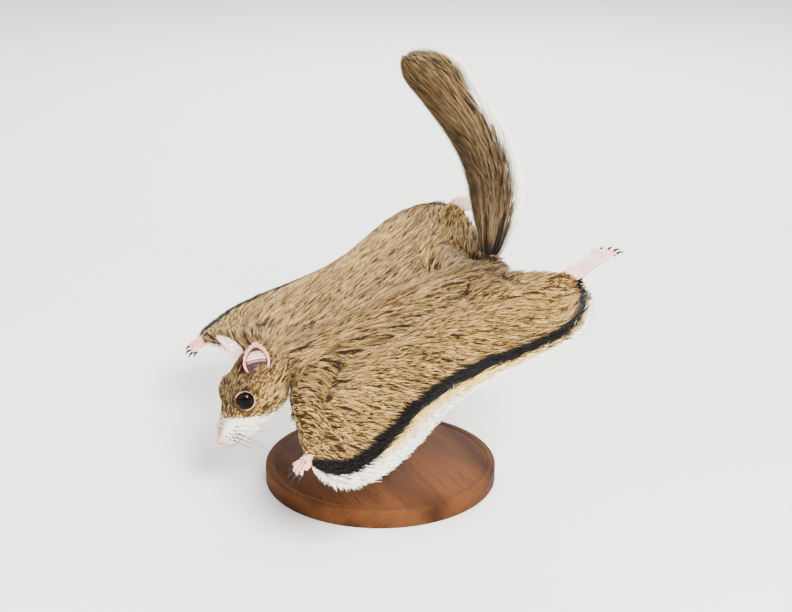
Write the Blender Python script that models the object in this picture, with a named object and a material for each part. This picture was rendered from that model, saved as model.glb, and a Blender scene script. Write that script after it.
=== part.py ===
"""A northern flying squirrel in a glide, life size, held on a plain display stand.

The animal is modelled level, in its own frame and in millimetres from the root of its tail:
forward is where it flies, left is its own left and up is its back. An empty then tips it nose
down and lifts it over the stand.
"""

import math
import random

import bmesh
import bpy
from mathutils import Matrix, Vector
from mathutils.bvhtree import BVHTree

MM = 0.001
GAP = 0.3  # clear space between two nodes that meet

# Attitude of the glide, and its height over the floor
GLIDE_PITCH = math.radians(15.9)  # nose down
BALANCE_FORWARD = 60  # the place of the body that stands over the rod
TAIL_ROOT_HEIGHT = 94

# Stand
BASE_RADIUS = 56
BASE_THICKNESS = 9
BASE_EDGE = 1.6
ROD_RADIUS = 2.5
ROD_FOOT_DEPTH = 5
ROD_TOP_DEPTH = 5
COLLAR_RADIUS = 7
COLLAR_HEIGHT = 5

# Head, hung from the end of the neck: along the skull, to its left, and up
HEAD_ORIGIN = (115.5, 0, 7)
HEAD_PITCH = math.radians(38)
HEAD_YAW = math.radians(6)  # turned a little to its left
NAPE = (112, 0, 4)  # where the head leaves the neck
NAPE_PITCH = math.radians(12)
NAPE_HALF_WIDTH = 16
EYE_PLACE = (19.9, 7.8, 6.0)
EYE_RADIUS = 5.2
EYE_LOOK = (0.34, 0.86, 0.38)
LID_SIZE = (4.8, 4.45)  # half length and half height of the rim round the eye
LID_PUSH = 2.7  # how far out from the eye's centre the rim lies
LID_THICK = 0.8
NOSE_PLACE = (43.2, 0, 1.5)
NOSE_RADII = (2.0, 2.5, 1.9)
NOSTRIL_PLACE = (44.6, 1.45, 1.4)
NOSTRIL_RADIUS = 0.62
MOUTH_LINE = [(30.0, 7.0, -5.2), (35.5, 6.0, -3.8), (40.6, 3.2, -3.0), (42.8, 0.0, -2.2)]
MOUTH_HALF_WIDTH = 0.42
EAR_ROOT = (6.0, 9.0, 8.6)
EAR_LEAN = {1: (-0.66, 0.27, 0.70), -1: (-0.16, 0.34, 0.86)}  # left and right, each as it is pricked
EAR_OPEN = {1: (0.42, 0.90, -0.05), -1: (0.72, 0.66, 0.0)}
EAR_HEIGHT = 18.0
EAR_HALF_WIDTH = 6.2
EAR_THICKNESS = 0.9
EAR_CUP = 3.4
EAR_NOTCH = 0.24  # how much higher than its middle the ear's edges rise from the head

# Joints of the left limbs: forward, left, up
SHOULDER = (97, 12, -1)
ELBOW = (116, 44, 1)
WRIST = (126.0, 76, -4.6)
HIP = (12, 12, 0)
KNEE = (9, 46, 7)
ANKLE = (-15.5, 61, 14.5)

# Tail: centre line forward, left, up, then half width across and half thickness
TAIL = [
    (2, 0, 2, 8, 5.5),
    (-7, 0, 20, 10.5, 6.4),
    (-12.6, 0, 37, 13.5, 7.0),
    (-14.2, 0, 54, 15.5, 7.2),
    (-12.0, 0, 70, 16, 7.2),
    (-6.5, 0, 86, 16, 6.8),
    (1.5, 0, 103, 14, 6.0),
    (8, 0, 114.5, 9.5, 4.4),
    (12.5, 0, 121.5, 3.2, 1.8),
]
TAIL_TWIST = math.radians(24)  # its dark upper side turns a little to the animal's left

# The tail's flesh and short hair are a core, and its long hair is locks that shingle out of it
CORE_SHARE = 0.48  # of the tail's half width and half thickness
LOCK_ROWS = 8
LOCKS_ROUND = 8
LOCK_START = -0.02  # along the tail, from 0 at its root to 1 at its tip
LOCK_END = 0.82
LOCK_REACH = 0.19
LOCK_HALF_THICK = 0.75
LOCK_BREADTH = 0.48  # half width at its broadest, as a share of its room round the tail
# Along a lock: how far from its root to its tip, how far out to the hair's tips, and its width
LOCK_SHAPE = [(0.0, 0.36, 0.6), (0.34, 0.74, 1.0), (0.7, 0.94, 0.72), (1.0, 1.0, 0.12)]

# Rows of the trunk: forward, left, up, half width, half height
TORSO = [
    (-9, 0, 3.2, 4, 4),
    (-4, 0, 2.6, 9, 7),
    (6, 0, 1.0, 15, 11),
    (22, 0, 0.0, 19.5, 13),
    (42, 0, -1.0, 21.5, 14.2),
    (62, 0, -1.6, 21.5, 14.2),
    (80, 0, -1.4, 19.5, 13.4),
    (96, 0, -0.8, 16.5, 12.4),
    (107, 0, 0.2, 14.6, 12.2),
    (116, 0, 2.0, 13.8, 11.6),
]

# Rows of a limb: its joints with half width and half height
ARM = [
    (*SHOULDER, 13, 11),
    (107.5, 28, 0.6, 10.0, 8.2),
    (*ELBOW, 7.8, 6.8),
    (121.8, 60.5, -1.2, 5.8, 5.2),
    (*WRIST, 4.2, 3.8),
]
LEG = [
    (*HIP, 13, 11),
    (12, 29, 3.0, 12, 9.5),
    (*KNEE, 9.4, 7.8),
    (-4.0, 55.5, 11.2, 6.6, 6.0),
    (*ANKLE, 4.6, 4.4),
]

# The gliding membrane's rim. Its free edge runs from the wrist round the lobe that the wrist's
# cartilage holds out, in at the waist, and out again to the ankle.
RIM_EDGE = [
    (130, 80, -5.6),
    (127, 92, -7.4),
    (119, 100.5, -8.6),
    (107, 103.5, -7),
    (92, 100, -4.4),
    (76, 92.5, -1.8),
    (60, 86.5, 1),
    (43, 85.5, 4),
    (26, 91, 7),
    (10, 95, 9.6),
    (-3, 91, 11.8),
    (-12, 79, 13.4),
    (-18, 64, 14.4),
]
RIM_FRONT = [(110, 8, 3), (119, 24, 1), (124.5, 43, 0.5), (127.5, 61, -2), (130, 80, -5.6)]
RIM_REAR = [(-6, 8, 3), (-9, 22, 6), (-13, 37, 9.5), (-16, 51, 12.5), (-18, 64, 14.4)]
RIM_BODY = [(110, 8, 3), (70, 8, -1), (35, 8, 0), (-6, 8, 3)]
MEMBRANE_CAMBER = 4.5
MEMBRANE_HEM = 0.84  # from here out, as a share of its width, the sheet's edge droops
MEMBRANE_DROOP = 3.6
MEMBRANE_THICK = 2.6  # half of the furred sheet, beside the body
MEMBRANE_THIN = 1.1  # half of it at the free edge

# Rows of the skull in the head's own axes: along, left, up, half width, half height
SKULL = [
    (-9, 0, -7.5, 11.5, 9.5),
    (-2, 0, -3.0, 13.0, 11.8),
    (5, 0, 0.0, 13.6, 13.4),
    (12, 0, 0.8, 13.2, 13.2),
    (19, 0, 0.4, 12.0, 12.2),
    (25, 0, -0.5, 10.4, 11.0),
    (31, 0, -1.2, 9.3, 9.2),
    (36.5, 0, -1.0, 7.9, 7.2),
    (41.2, 0, -0.2, 6.0, 5.0),
    (43.8, 0, 0.5, 3.2, 2.7),
]
# Other masses of the head: place, and radii along, to the left and up
CHEEK = ((16.0, 7.2, -5.6), (12.8, 7.0, 7.6))
WHISKER_PAD = ((37.2, 3.9, -1.0), (5.8, 3.9, 3.9))
ORBIT = ((19.2, 6.2, 6.0), (9.0, 5.4, 6.8))
JAW = ((24.0, 3.0, -7.2), (12.0, 5.4, 4.6))
CHIN = ((31.5, 0, -6.4), (8.0, 4.8, 3.6))
THROAT = ((4.0, 0, -7.5), (11.0, 10.5, 8.0))

# Lines in plan (forward, left) where the left side of the body is parted
FLANK_LINE = [
    (-24, 9.5),
    (-6, 12),
    (6, 17.5),
    (22, 21.5),
    (42, 23.5),
    (62, 23.5),
    (80, 22),
    (91, 19.5),
    (99, 16.8),
    (106, 16),
    (130, 16),
]
ARM_LINE = [(91, 19.5), (98, 31), (107, 47), (115, 63), (120.5, 77), (125, 83), (138, 92)]
LEG_LINE = [(22, 21.5), (23, 31), (18, 48), (10, 58), (-2, 63.5), (-14, 67.5), (-30, 72)]
ELBOW_LINE = [(107, 47), (134, 34)]
KNEE_LINE = [(18, 48), (7, 41), (-26, 30)]
NECK_LINE = [(104, -16.1), (104, 16.1)]

# The lengths that the walls leave, each known by a point (forward, left) near its middle
BODY_SEEDS = {"torso": (48, 0), "neck": (109, 0)}
SIDE_SEEDS = {
    "patagium": (58, 58),
    "upper_arm": (107, 33),
    "forearm": (122, 62),
    "thigh": (4, 30),
    "shin": (-6, 54),
}

# Feet: rows of the sole from the joint to the toes, then the toes' spread and size
FOREFOOT = [
    (123.5, 75.6, -4.4, 3.0, 2.8),
    (127.0, 76.0, -4.8, 3.5, 2.7),
    (130.5, 76.4, -5.5, 4.3, 2.4),
    (133.2, 76.6, -6.2, 4.0, 1.9),
]
FOREFOOT_TOES = {
    "count": 4,
    "spread": 44,
    "length": 5.9,
    "radius": 1.4,
    "claw": 2.8,
    "aim": (0.95, 0.04, -0.30),
}
HIND_FOOT = [
    (-12.5, 62.5, 14.6, 3.0, 3.0),
    (-19.0, 59.4, 14.6, 4.0, 3.4),
    (-26.0, 55.2, 14.0, 4.0, 2.9),
    (-33.0, 50.8, 13.0, 4.7, 2.4),
    (-36.5, 48.6, 12.4, 4.4, 1.9),
]
HIND_FOOT_TOES = {
    "count": 5,
    "spread": 46,
    "length": 8.6,
    "radius": 1.4,
    "claw": 3.4,
    "aim": (-0.83, -0.50, -0.18),
}

# Coarseness
BODY_VOXEL = 0.8
BODY_FACES = 2500
HEAD_VOXEL = 0.42
HEAD_FACES = 1500

FUR_BROWN = (0.36, 0.26, 0.14)
SKIN_PINK = (0.80, 0.52, 0.47)
FOOT_PALE = (0.86, 0.78, 0.70)
EYE_BLACK = (0.02, 0.014, 0.01)
STAND_WOOD = (0.30, 0.20, 0.12)
STEEL = (0.62, 0.62, 0.63)


def at(forward, left, up):
    """A point of the level animal."""
    return Vector((left, -forward, up)) * MM


def head_axes():
    """The head's own axes in the level animal: x to its left, y backwards, z up."""
    return Matrix.Rotation(HEAD_YAW, 4, "Z") @ Matrix.Rotation(HEAD_PITCH, 4, "X")


def head_at(along, left, up):
    """A point given in the head's own axes."""
    return at(*HEAD_ORIGIN) + head_axes() @ Vector((left, -along, up)) * MM


def head_direction(along, left, up):
    return (head_axes() @ Vector((left, -along, up))).normalized()


def clear_scene():
    for obj in list(bpy.data.objects):
        bpy.data.objects.remove(obj)


def material(name, colour, roughness, metallic=0.0):
    found = bpy.data.materials.get(name)
    if found:
        return found
    made = bpy.data.materials.new(name)
    made.use_nodes = True
    shader = made.node_tree.nodes["Principled BSDF"]
    shader.inputs["Base Color"].default_value = (*colour, 1)
    shader.inputs["Roughness"].default_value = roughness
    shader.inputs["Metallic"].default_value = metallic
    return made


def add_object(name, bm):
    """Puts a closed bmesh into an object of its own, with its faces pointing out."""
    bmesh.ops.recalc_face_normals(bm, faces=bm.faces)
    mesh = bpy.data.meshes.new(name)
    bm.to_mesh(mesh)
    bm.free()
    obj = bpy.data.objects.new(name, mesh)
    bpy.context.scene.collection.objects.link(obj)
    return obj


def apply_modifiers(obj):
    graph = bpy.context.evaluated_depsgraph_get()
    mesh = bpy.data.meshes.new_from_object(obj.evaluated_get(graph))
    obj.modifiers.clear()
    obj.data = mesh
    return obj


def copy_of(obj, name):
    made = obj.copy()
    made.data = obj.data.copy()
    made.name = name
    bpy.context.scene.collection.objects.link(made)
    return made


def remove(*objects):
    for obj in objects:
        bpy.data.objects.remove(obj)


def cut(obj, cutter, solver="EXACT"):
    """Cuts the cutter out of an object and removes it."""
    modifier = obj.modifiers.new("cut", "BOOLEAN")
    modifier.operation = "DIFFERENCE"
    modifier.solver = solver
    modifier.object = cutter
    apply_modifiers(obj)
    remove(cutter)


def islands_of(bm):
    """The separate closed surfaces of a mesh, as lists of faces."""
    seen, found = set(), []
    for start in bm.faces:
        if start in seen:
            continue
        island, front = [], [start]
        seen.add(start)
        while front:
            face = front.pop()
            island.append(face)
            near = {other for edge in face.edges for other in edge.link_faces} - seen
            seen |= near
            front.extend(near)
        found.append(island)
    return found


def area_of(faces):
    return sum(face.calc_area() for face in faces)


def keep_largest(obj):
    """Keeps only the largest closed surface."""
    bm = bmesh.new()
    bm.from_mesh(obj.data)
    islands = sorted(islands_of(bm), key=area_of)
    loose = [face for island in islands[:-1] for face in island]
    bmesh.ops.delete(bm, geom=loose, context="FACES")
    bm.to_mesh(obj.data)
    bm.free()
    return obj


def fused(name, pieces):
    """One Boolean union of closed pieces, applied, with the other pieces removed."""
    group = bpy.data.collections.new(name + "_pieces")
    body = pieces[0]
    for piece in pieces[1:]:
        group.objects.link(piece)
    modifier = body.modifiers.new("union", "BOOLEAN")
    modifier.operation = "UNION"
    modifier.operand_type = "COLLECTION"
    modifier.collection = group
    apply_modifiers(body)
    remove(*pieces[1:])
    bpy.data.collections.remove(group)
    body.name = name
    return keep_largest(body)


def grown(obj, distance=GAP):
    """A copy of a closed body, larger all round, that cuts its neighbours clear."""
    made = copy_of(obj, obj.name + "_room")
    bm = bmesh.new()
    bm.from_mesh(made.data)
    bm.normal_update()
    moves = [vert.normal * distance * MM for vert in bm.verts]
    for vert, move in zip(bm.verts, moves):
        vert.co += move
    bm.to_mesh(made.data)
    bm.free()
    return made


def cut_clear(obj, *neighbours):
    """Cuts an object back to a gap from its neighbours and keeps what stands out of them."""
    for neighbour in neighbours:
        cut(obj, grown(neighbour), "MANIFOLD")
    return keep_largest(obj)


def blended(name, bm, voxel, smoothing, faces, symmetric=False):
    """Overlapping closed shells melted into one smooth skin of about that many triangles."""
    obj = add_object(name, bm)
    melt = obj.modifiers.new("melt", "REMESH")
    melt.mode = "VOXEL"
    melt.voxel_size = voxel * MM
    smooth = obj.modifiers.new("smooth", "SMOOTH")
    smooth.factor = 0.5
    smooth.iterations = smoothing
    apply_modifiers(obj)
    reduce = obj.modifiers.new("reduce", "DECIMATE")
    reduce.ratio = faces / (2 * len(obj.data.polygons))
    reduce.use_symmetry = symmetric
    reduce.use_collapse_triangulate = True
    return apply_modifiers(obj)


def curve_point(rows, t):
    """The row of numbers at t, from 0 to 1, on a smooth curve through the rows."""
    last = len(rows) - 1
    i = min(int(t * last), last - 1)
    s = t * last - i
    before, start, end, after = (rows[min(max(k, 0), last)] for k in (i - 1, i, i + 1, i + 2))
    return tuple(
        q + 0.5 * s * (r - p + s * (2 * p - 5 * q + 4 * r - e + s * (3 * (q - r) + e - p)))
        for p, q, r, e in zip(before, start, end, after)
    )


def ring(bm, centre, tangent, half_width, half_height, sides, upright):
    """A loop of points round the tangent, half_height along upright and half_width across it."""
    across = upright.cross(tangent).normalized()
    top = tangent.cross(across).normalized()
    frame = Matrix((across * half_width, top * half_height, tangent)).transposed().to_4x4()
    frame.translation = centre
    return bmesh.ops.create_circle(bm, segments=sides, radius=1, matrix=frame)["verts"]


def loop_edges(verts):
    own = set(verts)
    return {edge for vert in verts for edge in vert.link_edges if edge.other_vert(vert) in own}


def tube(bm, points, half_sizes, sides, upright=Vector((0, 0, 1))):
    """A closed tube through points in metres, with a half width and height in metres at each."""
    loops = []
    for i, point in enumerate(points):
        tangent = (points[min(i + 1, len(points) - 1)] - points[max(i - 1, 0)]).normalized()
        loops.append(ring(bm, point, tangent, *half_sizes[i], sides, upright))
    edges = [loop_edges(loop) for loop in loops]
    for near, far in zip(edges, edges[1:]):
        bmesh.ops.bridge_loops(bm, edges=list(near | far))
    bm.faces.new(loops[0])
    bm.faces.new(loops[-1])


def lofted(bm, rows, steps, sides, place=at, upright=Vector((0, 0, 1))):
    """A closed tube through rows of a place, half width and half height in millimetres."""
    smooth = [curve_point(rows, i / steps) for i in range(steps + 1)]
    sizes = [(row[3] * MM, row[4] * MM) for row in smooth]
    tube(bm, [place(*row[:3]) for row in smooth], sides=sides, half_sizes=sizes, upright=upright)


def on_side(rows, side):
    """Rows of the left side, or their mirror image."""
    return [(row[0], row[1] * side, *row[2:]) for row in rows]


def sphere(bm, centre, radius, segments=16, rings=10):
    frame = Matrix.Translation(centre)
    bmesh.ops.create_uvsphere(bm, u_segments=segments, v_segments=rings, radius=radius * MM, matrix=frame)


def head_mass(bm, place, radii, side=1, segments=20):
    """An ellipsoid of the head, with radii along the skull, to its left and up."""
    along, left, up = (radius * MM for radius in radii)
    centre = head_at(place[0], place[1] * side, place[2])
    frame = Matrix.Translation(centre) @ head_axes() @ Matrix.Diagonal((left, along, up, 1))
    bmesh.ops.create_uvsphere(bm, u_segments=segments, v_segments=segments // 2, radius=1, matrix=frame)


def shell(bm, layers, rows, columns):
    """Closes two layers of points, rows by columns, into a thin shell split alike on both."""
    wide = columns + 1
    for layer in layers:
        for i in range(rows):
            for k in range(columns):
                a = i * wide + k
                bm.faces.new([layer[a], layer[a + 1], layer[a + 1 + wide]])
                bm.faces.new([layer[a], layer[a + 1 + wide], layer[a + wide]])
    rims = [edge for edge in bm.edges if len(edge.link_faces) == 1]
    bmesh.ops.bridge_loops(bm, edges=rims)


def membrane_point(u, v):
    """The membrane's middle: u runs from the arm to the leg and v from the body to the rim."""
    front, rear = Vector(curve_point(RIM_FRONT, v)), Vector(curve_point(RIM_REAR, v))
    body, edge = Vector(curve_point(RIM_BODY, u)), Vector(curve_point(RIM_EDGE, u))
    fore = Vector(RIM_FRONT[0]).lerp(Vector(RIM_FRONT[-1]), v)
    aft = Vector(RIM_REAR[0]).lerp(Vector(RIM_REAR[-1]), v)
    point = front.lerp(rear, u) + body.lerp(edge, v) - fore.lerp(aft, u)
    point.z += MEMBRANE_CAMBER * math.sin(math.pi * u) * math.sin(math.pi * v)
    hem = max(0, v - MEMBRANE_HEM) / (1 - MEMBRANE_HEM)
    point.z -= MEMBRANE_DROOP * math.sin(math.pi * u) * hem**1.6
    return point


def membrane_half_thickness(u, v):
    inward = min(1, 4 * (1 - v), 6 * u + 0.2, 6 * (1 - u) + 0.2)
    return MEMBRANE_THIN + (MEMBRANE_THICK - MEMBRANE_THIN) * inward


def membrane(side, rows=34, columns=20):
    """The furred sheet between arm, flank and leg."""
    bm = bmesh.new()
    layers = []
    for sign in (1, -1):
        layer = []
        for i in range(rows + 1):
            for k in range(columns + 1):
                u, v = i / rows, k / columns
                forward, left, up = membrane_point(u, v)
                thick = sign * membrane_half_thickness(u, v)
                layer.append(bm.verts.new(at(forward, left * side, up + thick)))
        layers.append(layer)
    shell(bm, layers, rows, columns)
    return bm


def add_shape(bm, other):
    """Adds a closed bmesh to another."""
    mesh = bpy.data.meshes.new("shape")
    bmesh.ops.recalc_face_normals(other, faces=other.faces)
    other.to_mesh(mesh)
    other.free()
    bm.from_mesh(mesh)
    bpy.data.meshes.remove(mesh)


def wall(line, low=-60, high=60):
    """A thin upright wall on a line of (forward, left) points, which parts the body."""
    bm = bmesh.new()
    columns = []
    for i, here in enumerate(line):
        before, after = Vector(line[max(i - 1, 0)]), Vector(line[min(i + 1, len(line) - 1)])
        along = (after - before).normalized()
        half = Vector((-along.y, along.x)) * GAP / 2
        sides = [(here[0] + half.x * s, here[1] + half.y * s) for s in (1, -1)]
        corners = [(*sides[0], low), (*sides[0], high), (*sides[1], high), (*sides[1], low)]
        columns.append([bm.verts.new(at(*corner)) for corner in corners])
    for near, far in zip(columns, columns[1:]):
        for k in range(4):
            bm.faces.new([near[k], near[(k + 1) % 4], far[(k + 1) % 4], far[k]])
    bm.faces.new(columns[0])
    bm.faces.new(columns[-1])
    return add_object("wall", bm)


def nape_block(start, end, half_width):
    """A block between two planes across the nape, both given as forward of it."""
    bm = bmesh.new()
    frame = Matrix.Translation(at(*NAPE)) @ Matrix.Rotation(NAPE_PITCH, 4, "X")
    frame = frame @ Matrix.Translation((0, -(start + end) / 2 * MM, 0))
    frame = frame @ Matrix.Diagonal((2 * half_width * MM, (end - start) * MM, 80 * MM, 1))
    bmesh.ops.create_cube(bm, size=1, matrix=frame)
    return add_object("nape_block", bm)


def split_by_seeds(obj, seeds):
    """Makes one object of each loose part, named by the seed point nearest to it."""
    bm = bmesh.new()
    bm.from_mesh(obj.data)
    middles = []
    for island in islands_of(bm):
        area = area_of(island)
        middle = sum((face.calc_center_median() * face.calc_area() for face in island), Vector()) / area
        middles.append((middle, {face.index for face in island}, area))
    bm.free()
    large = [entry for entry in middles if entry[2] > 60 * MM**2]
    made = {}
    for name, (forward, left) in seeds.items():
        seed = at(forward, left, 0).xy
        _, own, _ = min(large, key=lambda entry: (entry[0].xy - seed).length)
        made[name] = copy_of(obj, name)
        part = bmesh.new()
        part.from_mesh(obj.data)
        others = [face for face in part.faces if face.index not in own]
        bmesh.ops.delete(part, geom=others, context="FACES")
        part.to_mesh(made[name].data)
        part.free()
    remove(obj)
    return made


def make_body():
    """The furred body, melted into one form and parted into its named lengths."""
    bm = bmesh.new()
    lofted(bm, TORSO, 26, 26)
    for side in (1, -1):
        lofted(bm, on_side(ARM, side), 14, 14)
        lofted(bm, on_side(LEG, side), 14, 14)
        add_shape(bm, membrane(side))
    body = blended("body", bm, BODY_VOXEL, 5, BODY_FACES, symmetric=True)
    for line in (FLANK_LINE, ARM_LINE, LEG_LINE, ELBOW_LINE, KNEE_LINE):
        cut(body, wall(line), "MANIFOLD")
        cut(body, wall(on_side(line, -1)), "MANIFOLD")
    cut(body, wall(NECK_LINE), "MANIFOLD")
    cut(body, nape_block(-GAP / 2, GAP / 2, NAPE_HALF_WIDTH), "MANIFOLD")
    seeds = dict(BODY_SEEDS)
    for name, (forward, left) in SIDE_SEEDS.items():
        seeds[name + "_left"] = (forward, left)
        seeds[name + "_right"] = (forward, -left)
    nodes = split_by_seeds(body, seeds)
    fur = material("fur", FUR_BROWN, 0.9)
    for node in nodes.values():
        dress(node, fur)
    return nodes


def dress(obj, finish):
    obj.data.materials.clear()
    obj.data.materials.append(finish)
    return obj


def eye_centre(side):
    return head_at(EYE_PLACE[0], EYE_PLACE[1] * side, EYE_PLACE[2])


def lid_rim(side, sides=18):
    """A soft rim round the eye, a little longer than it is high."""
    bm = bmesh.new()
    look = head_direction(EYE_LOOK[0], EYE_LOOK[1] * side, EYE_LOOK[2])
    along = head_direction(1, 0, 0)
    along = (along - look * along.dot(look)).normalized()
    over = look.cross(along)
    centre = eye_centre(side) + look * LID_PUSH * MM
    loops = []
    for i in range(sides):
        c, s = math.cos(math.tau * i / sides), math.sin(math.tau * i / sides)
        place = centre + (along * c * LID_SIZE[0] + over * s * LID_SIZE[1]) * MM
        tangent = (over * c * LID_SIZE[1] - along * s * LID_SIZE[0]).normalized()
        loops.append(ring(bm, place, tangent, LID_THICK * MM, LID_THICK * MM, 6, look))
    edges = [loop_edges(loop) for loop in loops]
    for near, far in zip(edges, edges[1:] + edges[:1]):
        bmesh.ops.bridge_loops(bm, edges=list(near | far))
    return add_object("lid", bm)


def mouth_groove(head):
    """A fine tube along the line of the mouth on the head's surface, to be cut away."""
    graph = bpy.context.evaluated_depsgraph_get()
    tree = BVHTree.FromObject(head, graph)
    rows = MOUTH_LINE + on_side(MOUTH_LINE[-2::-1], -1)
    points = []
    steps = 24
    for i in range(steps + 1):
        place = Vector(curve_point(rows, i / steps))
        inner = head_at(place.x - 6, 0, place.z + 1.5)
        aim = (head_at(*place) - inner).normalized()
        hit = tree.ray_cast(inner + aim * 30 * MM, -aim)[0]
        points.append(hit + aim * 0.1 * MM)
    bm = bmesh.new()
    half = MOUTH_HALF_WIDTH * MM
    tube(bm, points, [(half, half)] * len(points), 6)
    return add_object("mouth_groove", bm)


def make_eye(name, side):
    bm = bmesh.new()
    sphere(bm, eye_centre(side), EYE_RADIUS, 14, 10)
    return dress(add_object(name, bm), material("eye", EYE_BLACK, 0.08))


def make_head():
    """The furred head with lids, sockets and the line of the mouth."""
    bm = bmesh.new()
    lofted(bm, SKULL, 26, 26, head_at)
    head_mass(bm, *CHIN)
    head_mass(bm, *THROAT)
    for side in (1, -1):
        for mass in (CHEEK, WHISKER_PAD, ORBIT, JAW):
            head_mass(bm, *mass, side)
    head = blended("head", bm, HEAD_VOXEL, 16, HEAD_FACES)
    head = fused("head", [head, lid_rim(1), lid_rim(-1)])
    cut(head, mouth_groove(head))
    for side in (1, -1):
        room = bmesh.new()
        sphere(room, eye_centre(side), EYE_RADIUS + GAP + 0.1, 16, 12)
        cut(head, add_object("socket", room))
    cut(head, nape_block(-60, GAP / 2, 60))
    return dress(keep_largest(head), material("fur", FUR_BROWN, 0.9))


def make_nose(head):
    """The bare nose leather with its two nostrils."""
    bm = bmesh.new()
    head_mass(bm, NOSE_PLACE, NOSE_RADII, segments=12)
    nose = add_object("nose", bm)
    cut_clear(nose, head)
    for side in (1, -1):
        room = bmesh.new()
        place = head_at(NOSTRIL_PLACE[0], NOSTRIL_PLACE[1] * side, NOSTRIL_PLACE[2])
        sphere(room, place, NOSTRIL_RADIUS, 6, 4)
        cut(nose, add_object("nostril", room))
    return dress(keep_largest(nose), material("skin", SKIN_PINK, 0.5))


def ear_point(s, t, side):
    """The ear's inner face: s runs from its root to its tip and t from edge to edge."""
    lean = Vector(EAR_LEAN[side]).normalized()
    mouth = Vector(EAR_OPEN[side])
    mouth = (mouth - lean * mouth.dot(lean)).normalized()
    across = lean.cross(mouth)
    width = EAR_HALF_WIDTH * (0.62 + 0.38 * math.sin(math.pi * min(1, s / 0.5) / 2))
    width *= math.sqrt(max(0.0, 1 - max(0.0, (s - 0.3) / 0.7) ** 2.1))
    bend = math.radians(86 - 40 * s)  # the edges curl round towards the root
    edge = width * math.sin(bend * t) / math.sin(min(bend, math.pi / 2))
    depth = EAR_CUP * (1 - math.cos(bend * t)) * (width / EAR_HALF_WIDTH)
    back = -2.2 * math.sin(math.pi * s)
    point = Vector(EAR_ROOT) + lean * (EAR_HEIGHT * s - 2.5) + across * edge + mouth * (depth + back)
    return head_at(point.x, point.y * side, point.z)


def make_ear(name, side, head, neck, rows=8, columns=8):
    """A thin rounded cup with its root cut to the skull."""
    bm = bmesh.new()
    inner = []
    for i in range(rows + 1):
        for k in range(columns + 1):
            t = 2 * k / columns - 1
            start = EAR_NOTCH * t**2
            inner.append(ear_point(start + (0.985 - start) * i / rows, t, side))
    outer = []
    wide = columns + 1
    for i in range(rows + 1):
        for k in range(columns + 1):
            up = inner[min(i + 1, rows) * wide + k] - inner[max(i - 1, 0) * wide + k]
            over = inner[i * wide + min(k + 1, columns)] - inner[i * wide + max(k - 1, 0)]
            normal = up.cross(over).normalized() * side
            outer.append(inner[i * wide + k] + normal * EAR_THICKNESS * MM)
    layers = [[bm.verts.new(point) for point in layer] for layer in (inner, outer)]
    shell(bm, layers, rows, columns)
    ear = add_object(name, bm)
    cut_clear(ear, head, neck)
    return dress(ear, material("skin", SKIN_PINK, 0.5))


def toe(bm, root, aim, length, radius):
    """A toe that arches from its knuckle to its pad, closed at both ends."""
    up = Vector((0, 0, 1))
    rows = [(0, 0, 0.95), (0.4, 0.14, 0.85), (0.82, 0.04, 0.9), (1.0, -0.12, 0.5)]
    points = [root + (aim * along + up * rise) * length * MM for along, rise, _ in rows]
    sizes = [(radius * k * MM, radius * k * MM) for _, _, k in rows]
    tube(bm, points, sizes, 6)
    return points[-1]


def claw(bm, root, aim, length):
    """A claw that hooks down to a point."""
    up = Vector((0, 0, 1))
    rows = [(-0.4, 0.04, 0.62), (0.35, 0.1, 0.55), (1.0, -0.38, 0.12)]
    points = [root + (aim * along + up * rise) * length * MM for along, rise, _ in rows]
    tube(bm, points, [(k * MM, k * 1.2 * MM) for _, _, k in rows], 4)


def make_foot(name, rows, toes, side, limb):
    """A foot with its toes and claws, cut to the end of its limb."""
    bm = bmesh.new()
    lofted(bm, on_side(rows, side), 6, 9)
    pieces = [add_object(name, bm)]
    aim = at(*toes["aim"]).normalized()
    aim.x *= side
    across = Vector((0, 0, 1)).cross(aim).normalized()
    knuckles = at(rows[-1][0], rows[-1][1] * side, rows[-1][2])
    count = toes["count"]
    for i in range(count):
        share = 2 * i / (count - 1) - 1
        turn = math.radians(toes["spread"] / 2) * share
        out = (aim * math.cos(turn) + across * math.sin(turn)).normalized()
        root = knuckles + across * share * (rows[-1][3] - toes["radius"] * 0.8) * MM - out * 1.5 * MM
        length = toes["length"] * (1 - 0.22 * share**2)
        digit = bmesh.new()
        tip = toe(digit, root, out, length, toes["radius"])
        pieces.append(add_object("toe", digit))
        nail = bmesh.new()
        claw(nail, tip, out, toes["claw"])
        pieces.append(add_object("claw", nail))
    foot = fused(name, pieces)
    cut_clear(foot, limb)
    return dress(foot, material("foot", FOOT_PALE, 0.6))


def tail_frame(t):
    """The tail's middle at t with its axes across and up, and its half width and thickness."""
    forward, left, up, width, height = curve_point(TAIL, min(max(t, 0), 1))
    ahead, behind = (at(*curve_point(TAIL, min(max(t + step, 0), 1))[:3]) for step in (0.02, -0.02))
    along = (ahead - behind).normalized()
    across = at(math.cos(TAIL_TWIST), math.sin(TAIL_TWIST), 0).cross(along).normalized()
    return at(forward, left, up), across, along.cross(across), width, height


def tail_lock(start, angle, reach, rng):
    """One flat lock from inside the core to the tips of the tail's hair."""
    points, sizes = [], []
    lift = rng.uniform(0.95, 1.0)
    for share, out, broad in LOCK_SHAPE:
        middle, across, top, width, height = tail_frame(start + reach * share)
        c, s = math.cos(angle), math.sin(angle)
        points.append(middle + (across * c * width + top * s * height) * out * lift * MM)
        room = math.hypot(width * s, height * c) * math.tau / LOCKS_ROUND
        sizes.append((LOCK_BREADTH * room * broad * MM, LOCK_HALF_THICK * math.sqrt(broad) * MM))
        if share == LOCK_SHAPE[1][0]:
            outward = (across * c / width + top * s / height).normalized()
    bm = bmesh.new()
    tube(bm, points, sizes, 4, outward)
    return add_object("lock", bm)


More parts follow.
